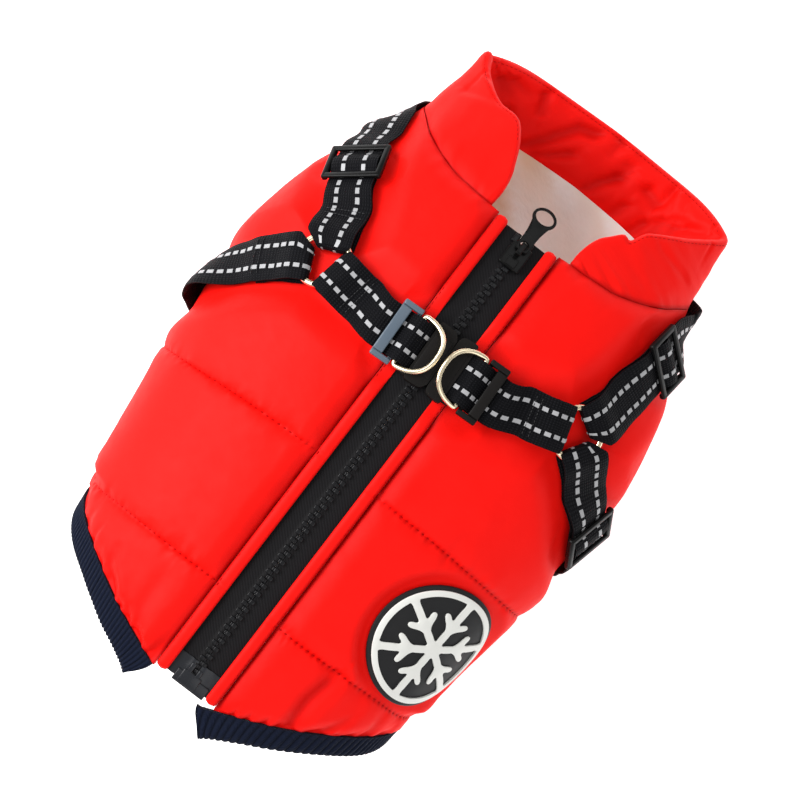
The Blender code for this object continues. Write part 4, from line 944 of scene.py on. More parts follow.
def make_lining():
    """The fleece lining in three parts that meet edge to edge, its pile uneven inside, coloured tan toward
    the left by painted shade and a painted warm reflected light.
    """
    rows = grid_rows((30, 34, 34, 12))
    high = -(SHELL_WALL + LINING_GAP)
    low = high - LINING_WALL
    grids = [panel_grid(side, BELLY_LINES, rows, BELLY_COLUMNS, LINING_START, (2.0, 1.0), 0.0, LINING_TUCK)
             for side in (-1.0, 1.0)]
    grids.append(belly_places(BELLY_LINES, rows, (2.0, -1.8), 0.0))
    parts, shades = [], []
    for around, along, _ in grids:
        flat = arc(around, along)
        pile = 0.55 * noise(flat / 6.0, along / 7.0, 91) + 0.3 * noise(flat / 2.4, along / 2.6, 92)
        pile += 0.9 * noise(flat / 19.0, along / 23.0, 93)
        inner = lifted(around, along, low - 0.5 - pile)
        parts.append(sheet_parts(lifted(around, along, high), inner, flat_uv(around, along)))
        # Painted shade and a painted warm reflected light, stronger toward the left, with uneven patches.
        shade = smooth((8.0 - inner[..., 0]) / 46.0) + 0.45 * noise(flat / 9.0, along / 11.0, 94)
        shades += [np.clip(shade, 0.0, 1.0).ravel()] * 2
    points, faces, uv = joined(parts)
    made = make_mesh("lining_fleece", points, [faces], FLEECE, uv=uv,
                     shade=np.concatenate(shades))
    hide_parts("lining")


COLLAR_STARTS = (16.5, 15.0)
COLLAR_LOBE = 7.5
TOP_STITCH = 1.9
PINCHES = (-66.0, -112.0, -154.0, -182.0, -208.0, -247.0, -292.0)

# Creases on the throat's inner side: their line, width and depth at both ends.
THROAT_CREASES = (
    (((-124.5, 149.0), (-136.1, 145.5)), 2.9, 1.5, 1.0),
    (((-133.2, 152.4), (-144.6, 150.9)), 2.5, 1.3, 0.8),
    (((-151.6, 155.4), (-156.1, 148.9)), 2.5, 1.6, 1.0),
    (((-176.6, 155.2), (-172.0, 153.0), (-167.4, 144.9), (-159.7, 133.3)), 3.3, 2.0, 1.3),
    (((-174.5, 142.4), (-167.0, 134.2), (-163.6, 128.8)), 2.9, 1.8, 1.0),
    (((-186.3, 146.1), (-183.6, 141.1), (-181.5, 134.9)), 2.8, 1.9, 1.2),
    (((-181.9, 159.0), (-180.9, 152.1)), 2.3, 1.6, 0.8),
    (((-198.3, 149.4), (-204.5, 146.7)), 2.8, 1.7, 1.0),
    (((-187.0, 152.2), (-189.3, 144.7)), 3.9, 1.0, 0.8),
    (((-220.9, 147.4), (-220.0, 140.1)), 2.8, 1.6, 1.0),
    (((-227.6, 146.8), (-239.7, 149.0)), 2.5, 1.5, 0.8),
    (((-205.0, 138.1), (-201.6, 131.7)), 2.5, 1.3, 0.8),
    (((-208.5, 156.0), (-207.7, 149.3)), 2.3, 1.4, 0.6),
    (((-140.5, 141.0), (-150.0, 134.0)), 2.8, 1.2, 0.9),
    (((-194.0, 139.0), (-192.0, 133.5)), 2.6, 1.2, 0.8),
    (((-213.0, 143.0), (-211.0, 136.0)), 2.8, 1.1, 0.8),
)
FLAP_CREASES = (
    (((-62.0, 145.0), (-44.1, 142.6)), 1.1, 1.0, 0.3),
    (((-64.5, 135.2), (-43.4, 138.8)), 1.9, 0.8, 0.4),
    (((-300.0, 128.0), (-318.0, 130.5)), 1.8, 0.7, 0.4),
)


def collar_start(around):
    return np.where(np.mod(around, 360.0) > 180.0, *COLLAR_STARTS)


def collar_top(around):
    """The collar's upper edge, rounded down to the neck seam at its two ends."""
    fold = fold_angle(around)
    start = collar_start(around)
    top = edge(around, COLLAR_TOP) + 3.5 * bell(fold - 19.0, 6.0)
    fuller = 5.0 * bell(fold - 32.0, 9.0)
    dip = -3.6 * bell(fold - 28.7, 2.6)
    peak = 3.2 * bell(fold - 82.0, 10.0)
    top = top + np.where(start == COLLAR_STARTS[0], fuller + peak, dip)
    lobe = 1.0 - np.clip((fold - start) / COLLAR_LOBE, 0.0, 1.0)
    round_share = (1.0 - lobe ** 2.4) ** (1.0 / 2.4)
    neck = edge(around, NECK_LINE)
    return neck + (top - neck) * np.maximum(round_share, 0.03)


def collar_shape(around, share):
    """Along, outer and inner height and the painted shade of the outer and inner side of the collar, at a
    share of its width.
    """
    neck = edge(around, NECK_LINE)
    top = collar_top(around)
    along = mix(neck, top, share)
    flat = arc(around, along)
    length = top - neck
    from_top = length * (1.0 - share)
    from_neck = length * share
    fold = fold_angle(around)
    from_end = (fold - collar_start(around)) * 1.05
    throat = smooth((fold - 95.0) / 45.0)
    nearest = np.minimum(from_top, from_end * 1.2 + 0.4)
    groove = bell(nearest - TOP_STITCH, 0.9)
    puff = COLLAR_PUFF * (0.2 + 0.8 * rise(from_neck, 7.0))
    puff = puff + 0.5 * noise(flat / 17.0, along / 13.0, 101) + 0.2 * noise(flat / 6.0, along / 6.0, 102)
    puff = puff + puckers(flat, from_neck, 111, 3.4, 7.0, 0.6, 0.3)
    puff = puff - 0.25 * groove + creased(flat, along, FLAP_CREASES)
    depth = COLLAR_WALL * (1.0 - 0.45 * bell(fold - 90.0, 14.0) * share)
    slant = flat * 0.55 + from_top * 0.85
    ripples = noise(slant / 5.0, (flat - from_top) / 21.0, 131)
    ripples = ripples + 0.5 * noise(slant / 2.6, flat / 15.0, 132)
    inside = smooth(from_top / 5.0) * smooth(from_neck / 6.0)
    folds = creased(flat, along, THROAT_CREASES)
    depth = depth + (0.45 * ripples + 0.9 * throat) * inside - 0.25 * groove
    depth = depth + 1.3 * folds * smooth(from_neck / 3.0)
    for pinch in PINCHES:
        dent = bell((around - pinch) * 1.1, 2.0) * bell(from_top, 9.0)
        puff = puff - 0.8 * dent
        depth = depth - 0.8 * dent
    puff = np.where(fold > 100.0, np.minimum(puff, FLOOR_GAP), puff)
    puff = np.where(share < 0.5, pressed(envelope(around, along), puff), puff)
    full = np.minimum(rounded_end(from_top, 2.6), rounded_end(from_end + 0.1, 2.4))
    middle = 0.5 * (puff - depth)
    outer = middle + np.maximum(puff - middle, 0.4) * np.maximum(full, 0.06)
    inner = middle - np.maximum(depth + middle, 0.4) * np.maximum(full, 0.06)
    # Painted shade at the neck seam and in the groove of the top stitching; on the inner side also in the
    # troughs of the creases.
    shade = np.maximum(0.75 * bell(from_neck, 1.4), 0.15 * groove)
    return along, outer, inner, shade, np.maximum(shade, painted_crease_shade(folds))


def collar_angles():
    """Angles from one end of the collar to the other, closer together at its ends."""
    start = COLLAR_STARTS[0]
    end = 360.0 - COLLAR_STARTS[1]
    near = COLLAR_LOBE + 2.0
    first = np.linspace(start, start + near, 36)[:-1]
    last = np.linspace(end - near, end, 36)
    return -np.concatenate((first, np.linspace(start + near, end - near, 300)[:-1], last))


def make_collar():
    """The padded collar, open over the zip, with its creased inner side."""
    around, share = np.meshgrid(collar_angles()[::-1], uneven(50, 0.6))
    along, outer, inner, shade, shade_in = collar_shape(around, share)
    parts = wall(around, along, outer, inner, flat_uv(around, along))
    made = make_mesh("collar_padded", parts[0], [parts[1]], NYLON, uv=parts[2], angle=60.0,
                     shade=np.concatenate((shade.ravel(), shade_in.ravel())))
    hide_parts("collar")


WELT_WIDTH = 5.2
WELT_DENTS = (-79.0, -14.5)


def rounded_end(distance, radius, least=0.0):
    """How far a wall has opened at a distance from its rounded end, from 0 to 1."""
    return np.sqrt(np.clip(1.0 - (1.0 - np.clip(distance / radius, 0.0, 1.0)) ** 2, least, 1.0))


def make_plackets():
    """The folded welts beside the zip, dented where the quilting meets them."""
    turns = np.radians(np.arange(-90.0, 271.0, 20.0)[:-1])
    for name, side in (("placket_left", -1.0), ("placket_right", 1.0)):
        inner = PLACKET_INNER * side
        span = (PLACKET_OUTER - PLACKET_INNER) * side
        along = np.linspace(WELT_BOTTOM, WELT_TOP, 230)
        middle = envelope(around_at(inner + 0.5 * span, along), along)
        wave = 1.0 + 0.06 * noise(along / 7.0, 0.5, 141) + 0.05 * noise(along / 2.6, 0.5, 142)
        from_end = np.minimum(along - along[0], along[-1] - along)
        tall = pressed(middle, PLACKET_HEIGHT * wave)
        for line in WELT_DENTS:
            tall = tall * (1.0 - 0.22 * bell(along - line, 1.3))
        ends = rounded_end(from_end, 2.4, 0.02)
        across = 0.5 + 0.5 * np.cos(turns)[None, :]
        across = 0.5 + (across - 0.5) * ends[:, None]
        up = 0.5 + 0.5 * np.sin(turns)[None, :]
        height = 0.1 + tall[:, None] * ends[:, None] * np.where(up > 0.5, up, 0.75 * up)
        spot = along[:, None] + 0.0 * up
        place = around_at(inner + across * span, spot)
        rings = lifted(place, spot, height)
        if side > 0.0:
            rings = rings[:, ::-1]
        uv = np.stack((across * WELT_WIDTH * np.ones_like(spot), spot), -1)
        points, faces, uv = tube_parts(rings[:, ::-1], uv)
        # Painted shade on the welt's outer side, where it turns down into the groove beside the panel, and a
        # little on its rounded ends.
        shade = 0.8 * smooth((across - 0.72) / 0.28) + 0.0 * spot
        shade = shade[:, ::-1] if side > 0.0 else shade
        shade = np.concatenate((shade[:, ::-1].ravel(), (0.3, 0.3)))
        made = make_mesh(name + "_welt", points, faces, WELT, uv=uv, angle=70.0, shade=shade)
        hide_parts(name)


def v_opening(along):
    return TAPE_OPEN * smooth((along - SLIDER_AT) / 8.0)


TOOTH_PITCH = 3.9


def make_zip():
    """Two woven tapes, interlocking teeth, stops and the box with its film at the lower end."""
    along = np.linspace(ZIP_BOTTOM, ZIP_TOP, 210)[:, None]
    parts = []
    for side in (-1.0, 1.0):
        marks = np.array((0.01, 0.9, 1.6, 2.2, 2.9, 3.4, 4.5, 6.0, 8.0, 10.0, 12.0, TAPE_OUTER))[None, :]
        across = np.maximum(marks, v_opening(along) * (1.0 - marks / TAPE_OUTER) + marks)
        across = np.minimum(across, TAPE_OUTER)
        cord = 0.55 * bell(marks - 1.2, 1.0)
        ripple = 0.1 * noise(along / 9.0, marks / 6.0, 151)
        high = -0.2 + cord + ripple
        low = -1.0 - 0.3 * cord
        spot = along + 0.0 * marks
        if side < 0.0:
            across, spot = across[:, ::-1], spot[:, ::-1]
            high, low = high[:, ::-1], low[:, ::-1]
        place = around_at(across * side, spot)
        uv = np.stack((across * side, spot), -1)
        parts.append(wall(place, spot, high, low + 0.0 * spot, uv))
    points, faces, uv = joined(parts)
    tapes = make_mesh("zip_tapes", points, [faces], TAPE, uv=uv)
    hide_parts("zip_tape")

    tooth = rounded_parts([((-1.1, 0.95), (-0.93, 0.93), (-1.5, 0.9), 0.32),
                           ((0.6, 1.8), (-0.8, 0.8), (-1.3, 0.7), 0.28)])
    frames = []
    for side in (-1.0, 1.0):
        shift = 0.0 if side < 0.0 else 0.5 * TOOTH_PITCH
        for spot in np.arange(ZIP_BOTTOM + 4.0 + shift, ZIP_TOP - 2.5, TOOTH_PITCH):
            if abs(spot - SLIDER_AT) < 1.0:
                continue
            across = side * (1.15 + float(v_opening(spot)))
            frames.append(zip_frame(across, spot, -side))
    teeth = scatter("zip_teeth", tooth, frames, TEETH)
    stops = rounded_parts([((-1.3, 1.3), (-1.8, 1.8), (-1.6, 1.5), 0.5)])
    frames = [zip_frame(side * (1.3 + TAPE_OPEN), ZIP_TOP - 2.6, 1.0) for side in (-1.0, 1.0)]
    scatter("zip_stops", stops, frames, TEETH)
    box = [((-6.2, 8.8), (-2.2, 3.2), (-1.5, 0.95), 0.4), ((-4.2, 4.2), (-1.6, 4.6), (-1.9, 1.25), 0.5),
           ((-3.0, -1.0), (4.0, 8.6), (-1.2, 1.15), 0.4), ((1.0, 3.0), (4.0, 7.4), (-1.2, 1.15), 0.4)]
    scatter("zip_box", rounded_parts(box), [zip_frame(0.0, ZIP_BOTTOM, 1.0)], FILM)
    along = np.linspace(ZIP_BOTTOM - 0.3, ZIP_BOTTOM + 9.6, 12)[:, None]
    parts = []
    for span in ((-12.6, -1.0), (1.0, 12.6)):
        across = np.linspace(*span, 14)[None, :]
        high = 0.3 + 0.55 * bell(np.abs(across) - 2.6, 1.6)
        high = high + 0.08 * noise(across, along / 2.0, 155)
        spot = along + 0.15 * noise(across / 2.0, 0.5, 156)
        place = around_at(across + 0.0 * spot, spot)
        uv = np.stack((across + 0.0 * spot, spot), -1)
        parts.append(wall(place, spot, high, high - 0.3, uv))
    points, faces, uv = joined(parts)
    make_mesh("zip_end_film", points, [faces], FILM, uv=uv)


def zip_frame(across, along, flip):
    """The placing of a rigid piece on the zip, its first axis across."""
    around = around_at(across, along)
    outward = normal(around, along)
    forward = unit(envelope(around, along + 1.0) - envelope(around, along - 1.0))
    forward = unit(forward - outward * np.dot(forward, outward))
    sideways = np.cross(forward, outward)
    return axes_matrix(envelope(around, along), sideways * flip, forward * flip, outward)


def rounded_parts(boxes):
    """Points in metres and faces of boxes with rounded edges: spans along X, Y, Z and a radius."""
    points, faces = [], []
    for span_x, span_y, span_z, radius in boxes:
        bm = bmesh.new()
        bmesh.ops.create_cube(bm, size=1.0)
        low = Vector((span_x[0], span_y[0], span_z[0]))
        high = Vector((span_x[1], span_y[1], span_z[1]))
        for corner in bm.verts:
            corner.co = Vector([mix(low[axis], high[axis], corner.co[axis] + 0.5) for axis in range(3)])
        reach = min(radius, 0.49 * min(high - low))
        bmesh.ops.bevel(bm, geom=bm.edges[:] + bm.verts[:], offset=reach, segments=3,
                        profile=0.5, affect="EDGES", clamp_overlap=True)
        bmesh.ops.recalc_face_normals(bm, faces=bm.faces[:])
        bm.verts.index_update()
        start = len(points)
        points += [tuple(corner.co * MM) for corner in bm.verts]
        faces += [[corner.index + start for corner in face.verts] for face in bm.faces]
        bm.free()
    return np.array(points), faces


def by_size(faces):
    """Faces of mixed sizes as one array for each size."""
    sizes = sorted({len(face) for face in faces})
    return [np.array([face for face in faces if len(face) == size]) for size in sizes]


def scatter(name, template, frames, look, body="vest", angle=35.0):
    """One joined mesh with a copy of a small template at each placing."""
    points, faces = template
    moved, made = [], []
    grouped = by_size(faces)
    for index, placing in enumerate(frames):
        matrix = np.array(placing)
        moved.append(points @ matrix[:3, :3].T + matrix[:3, 3])
        made.append([group + index * len(points) for group in grouped])
    arrays = [np.concatenate([item[size] for item in made]) for size in range(len(grouped))]
    return make_mesh(name, np.concatenate(moved), arrays, look, body, angle=angle, keep=True)


def rounded_piece(name, boxes, placing, look, node):
    made = scatter(name, rounded_parts(boxes), [placing], look)
    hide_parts(node)


def profile_rows(profile):
    """Both columns of a profile, each as one row of a grid."""
    return [np.array([item[axis] for item in profile])[None, :] for axis in (0, 1)]


def rib_wave(flat, pitch):
    """The knit's ribs, from 0 in a groove to 1 on a rib."""
    return np.abs(np.cos(np.pi * flat / pitch)) ** 0.7


HEM_STARTS = (12.2, 6.6)
HEM_PULLS = (6.1, 7.1)


def make_hem():
    """The ribbed band, its two ends cut aslant so that the outer edge ends further back."""
    share = np.arange(1501) / 1500.0
    around = -mix(HEM_STARTS[0], 360.0 - HEM_STARTS[1], share)
    left = share < 0.5
    fold = fold_angle(around)
    from_end = fold - np.where(left, *HEM_STARTS)
    hem = edge(around, HEM) - GAP
    close = np.clip(from_end / 3.0, 0.0, 1.0)
    width = RIB_WIDTH * np.sqrt(1.0 - 0.35 * (1.0 - close) ** 2)
    flat = arc(around, hem)
    width = width + 0.5 * noise(flat / 11.0, 0.5, 161)
    ribs = rib_wave(flat, RIB_PITCH)
    sag = 0.5 * noise(flat / 23.0, 0.5, 162)
    pull = np.where(left, -HEM_PULLS[0], HEM_PULLS[1]) * np.exp(-from_end / 7.0)
    profile = ((0.0, -1.0), (0.0, -0.5), (0.0, 0.5), (0.0, 1.0), (0.12, 1.05), (0.3, 1.0), (0.5, 1.0),
               (0.7, 1.0), (0.85, 0.85), (0.95, 0.55), (1.0, 0.0), (0.95, -0.55), (0.85, -0.85),
               (0.7, -1.0), (0.5, -1.0), (0.3, -1.0), (0.12, -1.05))
    away, side = profile_rows(profile)
    groove = 1.0 - ribs[:, None]
    swell = RIB_HALF * side * (1.0 - 0.42 * groove * (away > 0.05))
    drop = width[:, None] * (away - 0.06 * groove * (away > 0.8))
    spot = hem[:, None] - drop
    turned_back = around[:, None] + pull[:, None] * away ** 1.5
    rings = lifted(turned_back, spot, swell + sag[:, None] * away)
    uv = np.stack((flat[:, None] + 0.0 * away, spot), -1)
    # Painted shade in the grooves between the ribs, and a little on the band's ends.
    shade = 0.85 * groove + 0.0 * away
    points, faces, uv = tube_parts(rings[:, ::-1], uv)
    shade = np.concatenate((shade[:, ::-1].ravel(), (0.5, 0.5)))
    made = make_mesh("hem_band", points, faces, KNIT, uv=uv, angle=80.0, shade=shade)
    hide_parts("hem_rib")


ARMHOLE_STEPS = 520
ARMHOLE_RIBS = 84.0


def make_armholes():
    """The ribbed binding of both armholes, whose edge turns into the hole."""
    profile = ((0.0, 0.9), (0.0, -0.2), (0.0, -1.4), (0.0, -2.5), (0.0, -3.6), (0.3, -3.75), (0.6, -3.6),
               (0.88, -2.9), (1.0, -2.0), (1.02, -1.2), (1.0, -0.4), (0.85, 0.4), (0.6, 0.9), (0.3, 1.05))
    away, high = profile_rows(profile)
    turn = 2.0 * np.pi * np.arange(ARMHOLE_STEPS)[:, None] / ARMHOLE_STEPS
    ribs = np.abs(np.cos(0.5 * turn * ARMHOLE_RIBS)) ** 0.7
    reach = 0.5 + 4.2 * (away - 0.05 * (1.0 - ribs) * (away > 0.2))
    along = ARMHOLE_MIDDLE + ARMHOLE_HALF_LENGTH * (1.0 - reach / ARMHOLE_HALF_LENGTH) * np.cos(turn)
    angle = 1.0 - reach / (ARMHOLE_HALF_ANGLE * 1.18)
    for name, side in (("armhole_rib_left", -1.0), ("armhole_rib_right", 1.0)):
        around = (SIDE_SEAM + ARMHOLE_HALF_ANGLE * angle * np.sin(turn)) * side
        rings = lifted(around, along, high - 0.35 * (1.0 - ribs) * (high > 0.0))
        uv = np.stack((turn * 20.0 + 0.0 * away, reach + high), -1)
        points, faces, uv = tube_parts(rings if side < 0.0 else rings[:, ::-1], uv, closed=True)
        # Painted shade in the grooves between the ribs.
        shade = np.broadcast_to(0.8 * (1.0 - ribs), (ARMHOLE_STEPS, away.shape[1]))
        shade = np.concatenate((shade, shade[:1])).ravel()
        made = make_mesh(name.replace("rib", "band"), points, faces, KNIT, uv=uv, angle=80.0,
                         shade=shade)
        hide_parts(name)


# Webbing.

SEWN_TAIL = 28.0
LOOP_RADIUS = WIRE + 0.4 + 0.5 * WEBBING_THICKNESS
WIRE_HEIGHT = LOW_LAYER + LOOP_RADIUS
FOLD_AT = 7.4
GLIDE_RISE = 2.3
DASH_PITCH = 3.9
DASH_ROW = 4.4
CROSS_TAIL = 21.0
BAR_OUT = 11.2
BAR_HEIGHT = 3.7
BAR_RADIUS = 1.1
D_OUT = 14.7
D_HEIGHT = 5.4
D_WIRE = 1.1


def half_turn(centre, height, radius, start, end):
    angles = np.radians(np.linspace(start, end, 7))
    return [(centre + radius * math.cos(angle), height + radius * math.sin(angle)) for angle in angles]


def evenly(start, end, step=6.0):
    return list(np.linspace(start, end, math.ceil(abs(end - start) / step) + 1))


def ring_end(tail, upper_to):
    marks = evenly(RING_RADIUS + 8.5, upper_to)
    points = [(tail, LOW_LAYER)]
    points += [(mark, LOW_LAYER) for mark in reversed(marks) if mark < tail - 1.0]
    points += half_turn(FOLD_AT, WIRE_HEIGHT, LOOP_RADIUS, 270.0, 90.0)
    top = WIRE_HEIGHT + LOOP_RADIUS
    points += [(RING_RADIUS + 1.6, top), (RING_RADIUS + 4.4, top - 1.2)]
    return points + [(mark, HIGH_LAYER) for mark in marks]


def over_glide(middle):
    high = HIGH_LAYER + GLIDE_RISE
    return [(middle - 5.6, HIGH_LAYER), (middle - 1.7, high), (middle + 1.7, high),
            (middle + 5.6, HIGH_LAYER)]


def free_height(route, distance):
    under = smooth((fold_angle(route.place(distance)[..., 0]) - 136.0) / 24.0)
    return float(mix(2.4, 1.55, under))


def mirrored(points, length):
    return [(length - distance, height) for distance, height in reversed(points)]


PROFILE_STEP = 0.9


def smooth_profile(profile):
    """Points along a smooth curve through a profile, closely spaced, with their directions."""
    marks = np.array(profile)
    times = run_along(marks)
    rows = np.column_stack((times, marks))
    at = []
    for start, end in zip(times, times[1:]):
        at += list(np.linspace(start, end, max(2, math.ceil((end - start) / PROFILE_STEP)) + 1)[:-1])
    at = np.array(at + [times[-1]])
    points = spline_rows(rows, at)
    return at, points, spline_rows(rows, np.clip(at + 0.1, 0, times[-1])) - spline_rows(
        rows, np.clip(at - 0.1, 0, times[-1]))


class Strap:
    """A strap of webbing: points on its surface from a distance along it, beside and above it.

    Its corners are drawn in at a ring, by a slope for each side, so that three straps fit it.
    """

    def __init__(self, route, profile, corners, twists=()):
        self.route = route
        self.corners = corners
        self.run, self.centre, direction = smooth_profile(profile)
        direction = unit(direction)
        self.up = np.stack((-direction[:, 1], direction[:, 0]), -1)
        self.twists = twists

    def surface(self, run, beside, lift):
        run, beside, lift = np.broadcast_arrays(run, beside, lift)
        centre = sampled(run, self.run, self.centre)
        up = sampled(run, self.run, self.up)
        distance = centre[..., 0]
        half = np.ones(distance.shape)
        ends = (distance, self.route.length - distance)
        for (right, left), away in zip(self.corners, ends):
            slope = np.where(beside > 0.0, left, right)
            half = np.minimum(half, (slope * away - 0.5) / HALF_WEBBING)
        spot = centre + up * lift[..., None]
        side = beside * half
        height = spot[..., 1]
        for at, reach, angle, bulge in self.twists:
            share = bell(distance - at, reach)
            tilt = share * np.radians(angle)
            height = height + side * np.sin(tilt) + np.abs(HALF_WEBBING * np.sin(tilt)) + bulge * share
            side = side * np.cos(tilt)
        return self.route.point(spot[..., 0], side, height)

    def mesh_parts(self):
        side = np.concatenate((np.linspace(-1.0, 1.0, 13), np.linspace(1.0, -1.0, 13)))
        thick = np.concatenate((np.ones(13), -np.ones(13)))
        thick = thick * np.where(np.abs(side) > 0.99, 0.45, 1.0)
        run = self.run[:, None]
        ragged = 1.0 + 0.012 * noise(run / 2.1, side / 2.0, 171) * (np.abs(side) > 0.8)
        lift = HALF_YARN * thick + 0.1 * noise(run / 9.0, side * 2.0, 172)
        rings = self.surface(run, side * HALF_WEBBING * ragged, lift)
        uv = np.stack(np.broadcast_arrays(run, side * HALF_WEBBING + 12.0), -1)
        return tube_parts(rings, uv)

    def dashes(self):
        """Two rows of reflective dashes woven into the outer face."""
        marks = np.arange(self.run[0] + 1.5, self.run[-1] - 3.0, DASH_PITCH)
        parts = []
        corners = np.array([(0, 0), (1, 0), (2, 0), (0, 1), (1, 1), (2, 1)])
        faces = np.array([(0, 1, 4, 3), (1, 2, 5, 4), (6, 9, 10, 7), (7, 10, 11, 8), (0, 6, 7, 1),
                          (1, 7, 8, 2), (2, 8, 11, 5), (5, 11, 10, 4), (4, 10, 9, 3), (3, 9, 6, 0)])
        for row in (-DASH_ROW, DASH_ROW):
            long = 2.5 + 0.25 * noise(marks / 3.0, row, 181)
            run = marks[:, None] + corners[:, 0] * 0.5 * long[:, None]
            beside = row - 0.85 + 1.7 * corners[:, 1] + 0.15 * noise(marks[:, None] / 4.0, row, 182)
            high = self.surface(run, beside, HALF_YARN + 0.22)
            low = self.surface(run, beside, HALF_YARN - 0.15)
            points = np.concatenate((high, low), axis=1)
            shift = 12 * np.arange(len(marks))[:, None, None]
            parts.append((points.reshape(-1, 3), (faces[None] + shift).reshape(-1, 4),
                          np.zeros((12 * len(marks), 2))))
        return joined(parts)


STRAPS = {}


def make_straps():
    """The four straps: folded round the rings and the buckle, and through the glides."""
    neck_ends = (GLIDE_NECK_LEFT, NECK.length - GLIDE_NECK_RIGHT)
    girth_ends = (None, GIRTH.length - GLIDE_GIRTH_RIGHT)
    neck_twists = ((72.0, 9.0, 12.0, 0.0), (NECK.length - 84.0, 10.0, -10.0, 0.5))
    girth_twists = ((55.0, 11.0, 20.0, 0.0), (GIRTH.length - 78.0, 9.0, -8.0, 0.8))
    for name, route, glides, twists, corners in (
        ("neck_strap", NECK, neck_ends, neck_twists, ((1.55, 1.02), (2.0, 1.02))),
        ("girth_strap", GIRTH, girth_ends, girth_twists, ((1.02, 2.4), (1.02, 1.75))),
    ):
        ends = []
        for glide in glides:
            if glide is None:
                tail = SEWN_TAIL
                end = ring_end(tail, tail) + [(tail + 1.0, HIGH_LAYER)]
            else:
                tail = glide + 9.0
                end = ring_end(tail, glide - 9.5) + over_glide(glide) + [(tail + 0.5, HIGH_LAYER)]
            ends.append((end, tail + 8.0))
        (first, first_free), (last, last_free) = ends
        marks = evenly(first_free, route.length - last_free, 8.0)
        middle = [(mark, free_height(route, mark)) for mark in marks]
        STRAPS[name] = Strap(route, first + middle + mirrored(last, route.length), corners, twists)
    loop = BAR_RADIUS + 0.4 + 0.5 * WEBBING_THICKNESS
    for name, length, flip in (
        ("cross_strap_left", BUCKLE_AT, False), ("cross_strap_right", CROSS.length - BUCKLE_AT, True),
    ):
        bar = length - BAR_OUT
        d_bar = length - D_OUT
        profile = ring_end(0.5 * length, length - 28.0)
        over_wire = D_HEIGHT + D_WIRE + 1.05
        profile += [(length - 20.3, HIGH_LAYER), (length - 17.8, 5.9),
                    (d_bar - 0.9, over_wire), (d_bar + 0.9, over_wire)]
        profile += half_turn(bar, BAR_HEIGHT, loop, 80.0, -90.0)
        profile += [(mark, LOW_LAYER) for mark in evenly(bar - 4.0, 0.5 * length + 0.4)]
        if flip:
            profile = mirrored(profile, CROSS.length)
        STRAPS[name] = Strap(CROSS, profile, ((2.4, 1.55), (1.75, 2.0)))
    for name, strap in STRAPS.items():
        points, faces, uv = strap.mesh_parts()
        made = make_mesh(name + "_webbing", points, faces, WEB, uv=uv, angle=60.0)
        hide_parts(name)
        points, faces, uv = strap.dashes()
        marks = make_mesh(name + "_dashes", points, [faces], REFLECT)
        length = round(float(strap.run[-1]) * MM, 3)


def make_glides():
    half = 8.6
    bar = 2.6
    boxes = [((-half, half), (-RAIL_OUTER, -RAIL_INNER + 0.15), (3.4, 6.2), 0.9),
             ((-half, half), (RAIL_INNER - 0.15, RAIL_OUTER), (3.4, 6.2), 0.9),
             ((-half, bar - half), (-RAIL_OUTER + 0.5, RAIL_OUTER - 0.5), (4.6, 6.2), 0.7),
             ((half - bar, half), (-RAIL_OUTER + 0.5, RAIL_OUTER - 0.5), (4.6, 6.2), 0.7),
             ((-0.5 * bar, 0.5 * bar), (-RAIL_OUTER + 0.5, RAIL_OUTER - 0.5), (3.4, 4.9), 0.6)]
    for name, route, distance in GLIDES:
        rounded_piece(name + "_moulded", boxes, route.matrix(distance), SHINY, name)


def make_slides():
    # The left slide takes the blue-grey painted reflection, the right one the plain black plastic.
    for name, sign, look in (("slide_left", -1.0, PAINTED_REFLECTION_PLASTIC), ("slide_right", 1.0, MATT)):
        broad = sorted((sign * 20.6, sign * 25.0))
        narrow = sorted((sign * 16.2, sign * 18.0))
        ends = sorted((sign * 16.2, sign * 25.0))
        boxes = [(ends, (-RAIL_OUTER, -RAIL_INNER), (3.35, 6.2), 0.6),
                 (ends, (RAIL_INNER, RAIL_OUTER), (3.35, 6.2), 0.6),
                 (broad, (-RAIL_INNER + 0.18, RAIL_INNER - 0.18), (4.5, 6.3), 0.5),
                 (broad, (-RAIL_OUTER + 0.8, RAIL_OUTER - 0.8), (4.3, 5.4), 0.3),
                 (narrow, (-RAIL_OUTER + 0.8, RAIL_OUTER - 0.8), (3.35, 4.5), 0.4)]
        rounded_piece(name + "_moulded", boxes, CROSS.matrix(BUCKLE_AT), look, name)


def buckle_half(outline, frame_from, frame_to, raised):
    """A buckle half in metres: a rounded body from an outline, a raised field and a strap bar."""
    whole = outline + [(x, -y) for x, y in reversed(outline)]
    points, faces = plate([smooth_loop(whole)], 1.8, 6.1, 0.8, 3)
    points = points * MM
    edge_out, edge_in = sorted((frame_to, frame_to - math.copysign(2.2, frame_to)))
    rails = tuple(sorted((frame_from, frame_to)))
    boxes = [((edge_out, edge_in), (-12.6, 12.6), (2.6, 4.8), 0.9), (rails, (-12.6, -10.6), (2.6, 4.8), 0.7),
             (rails, (10.6, 12.6), (2.6, 4.8), 0.7), (raised, (-8.6, 8.6), (5.4, 6.35), 0.25)]
    more, more_faces = rounded_parts(boxes)
    count = len(points)
    faces = faces + [[corner + count for corner in face] for face in more_faces]
    return np.concatenate((points, more)), faces


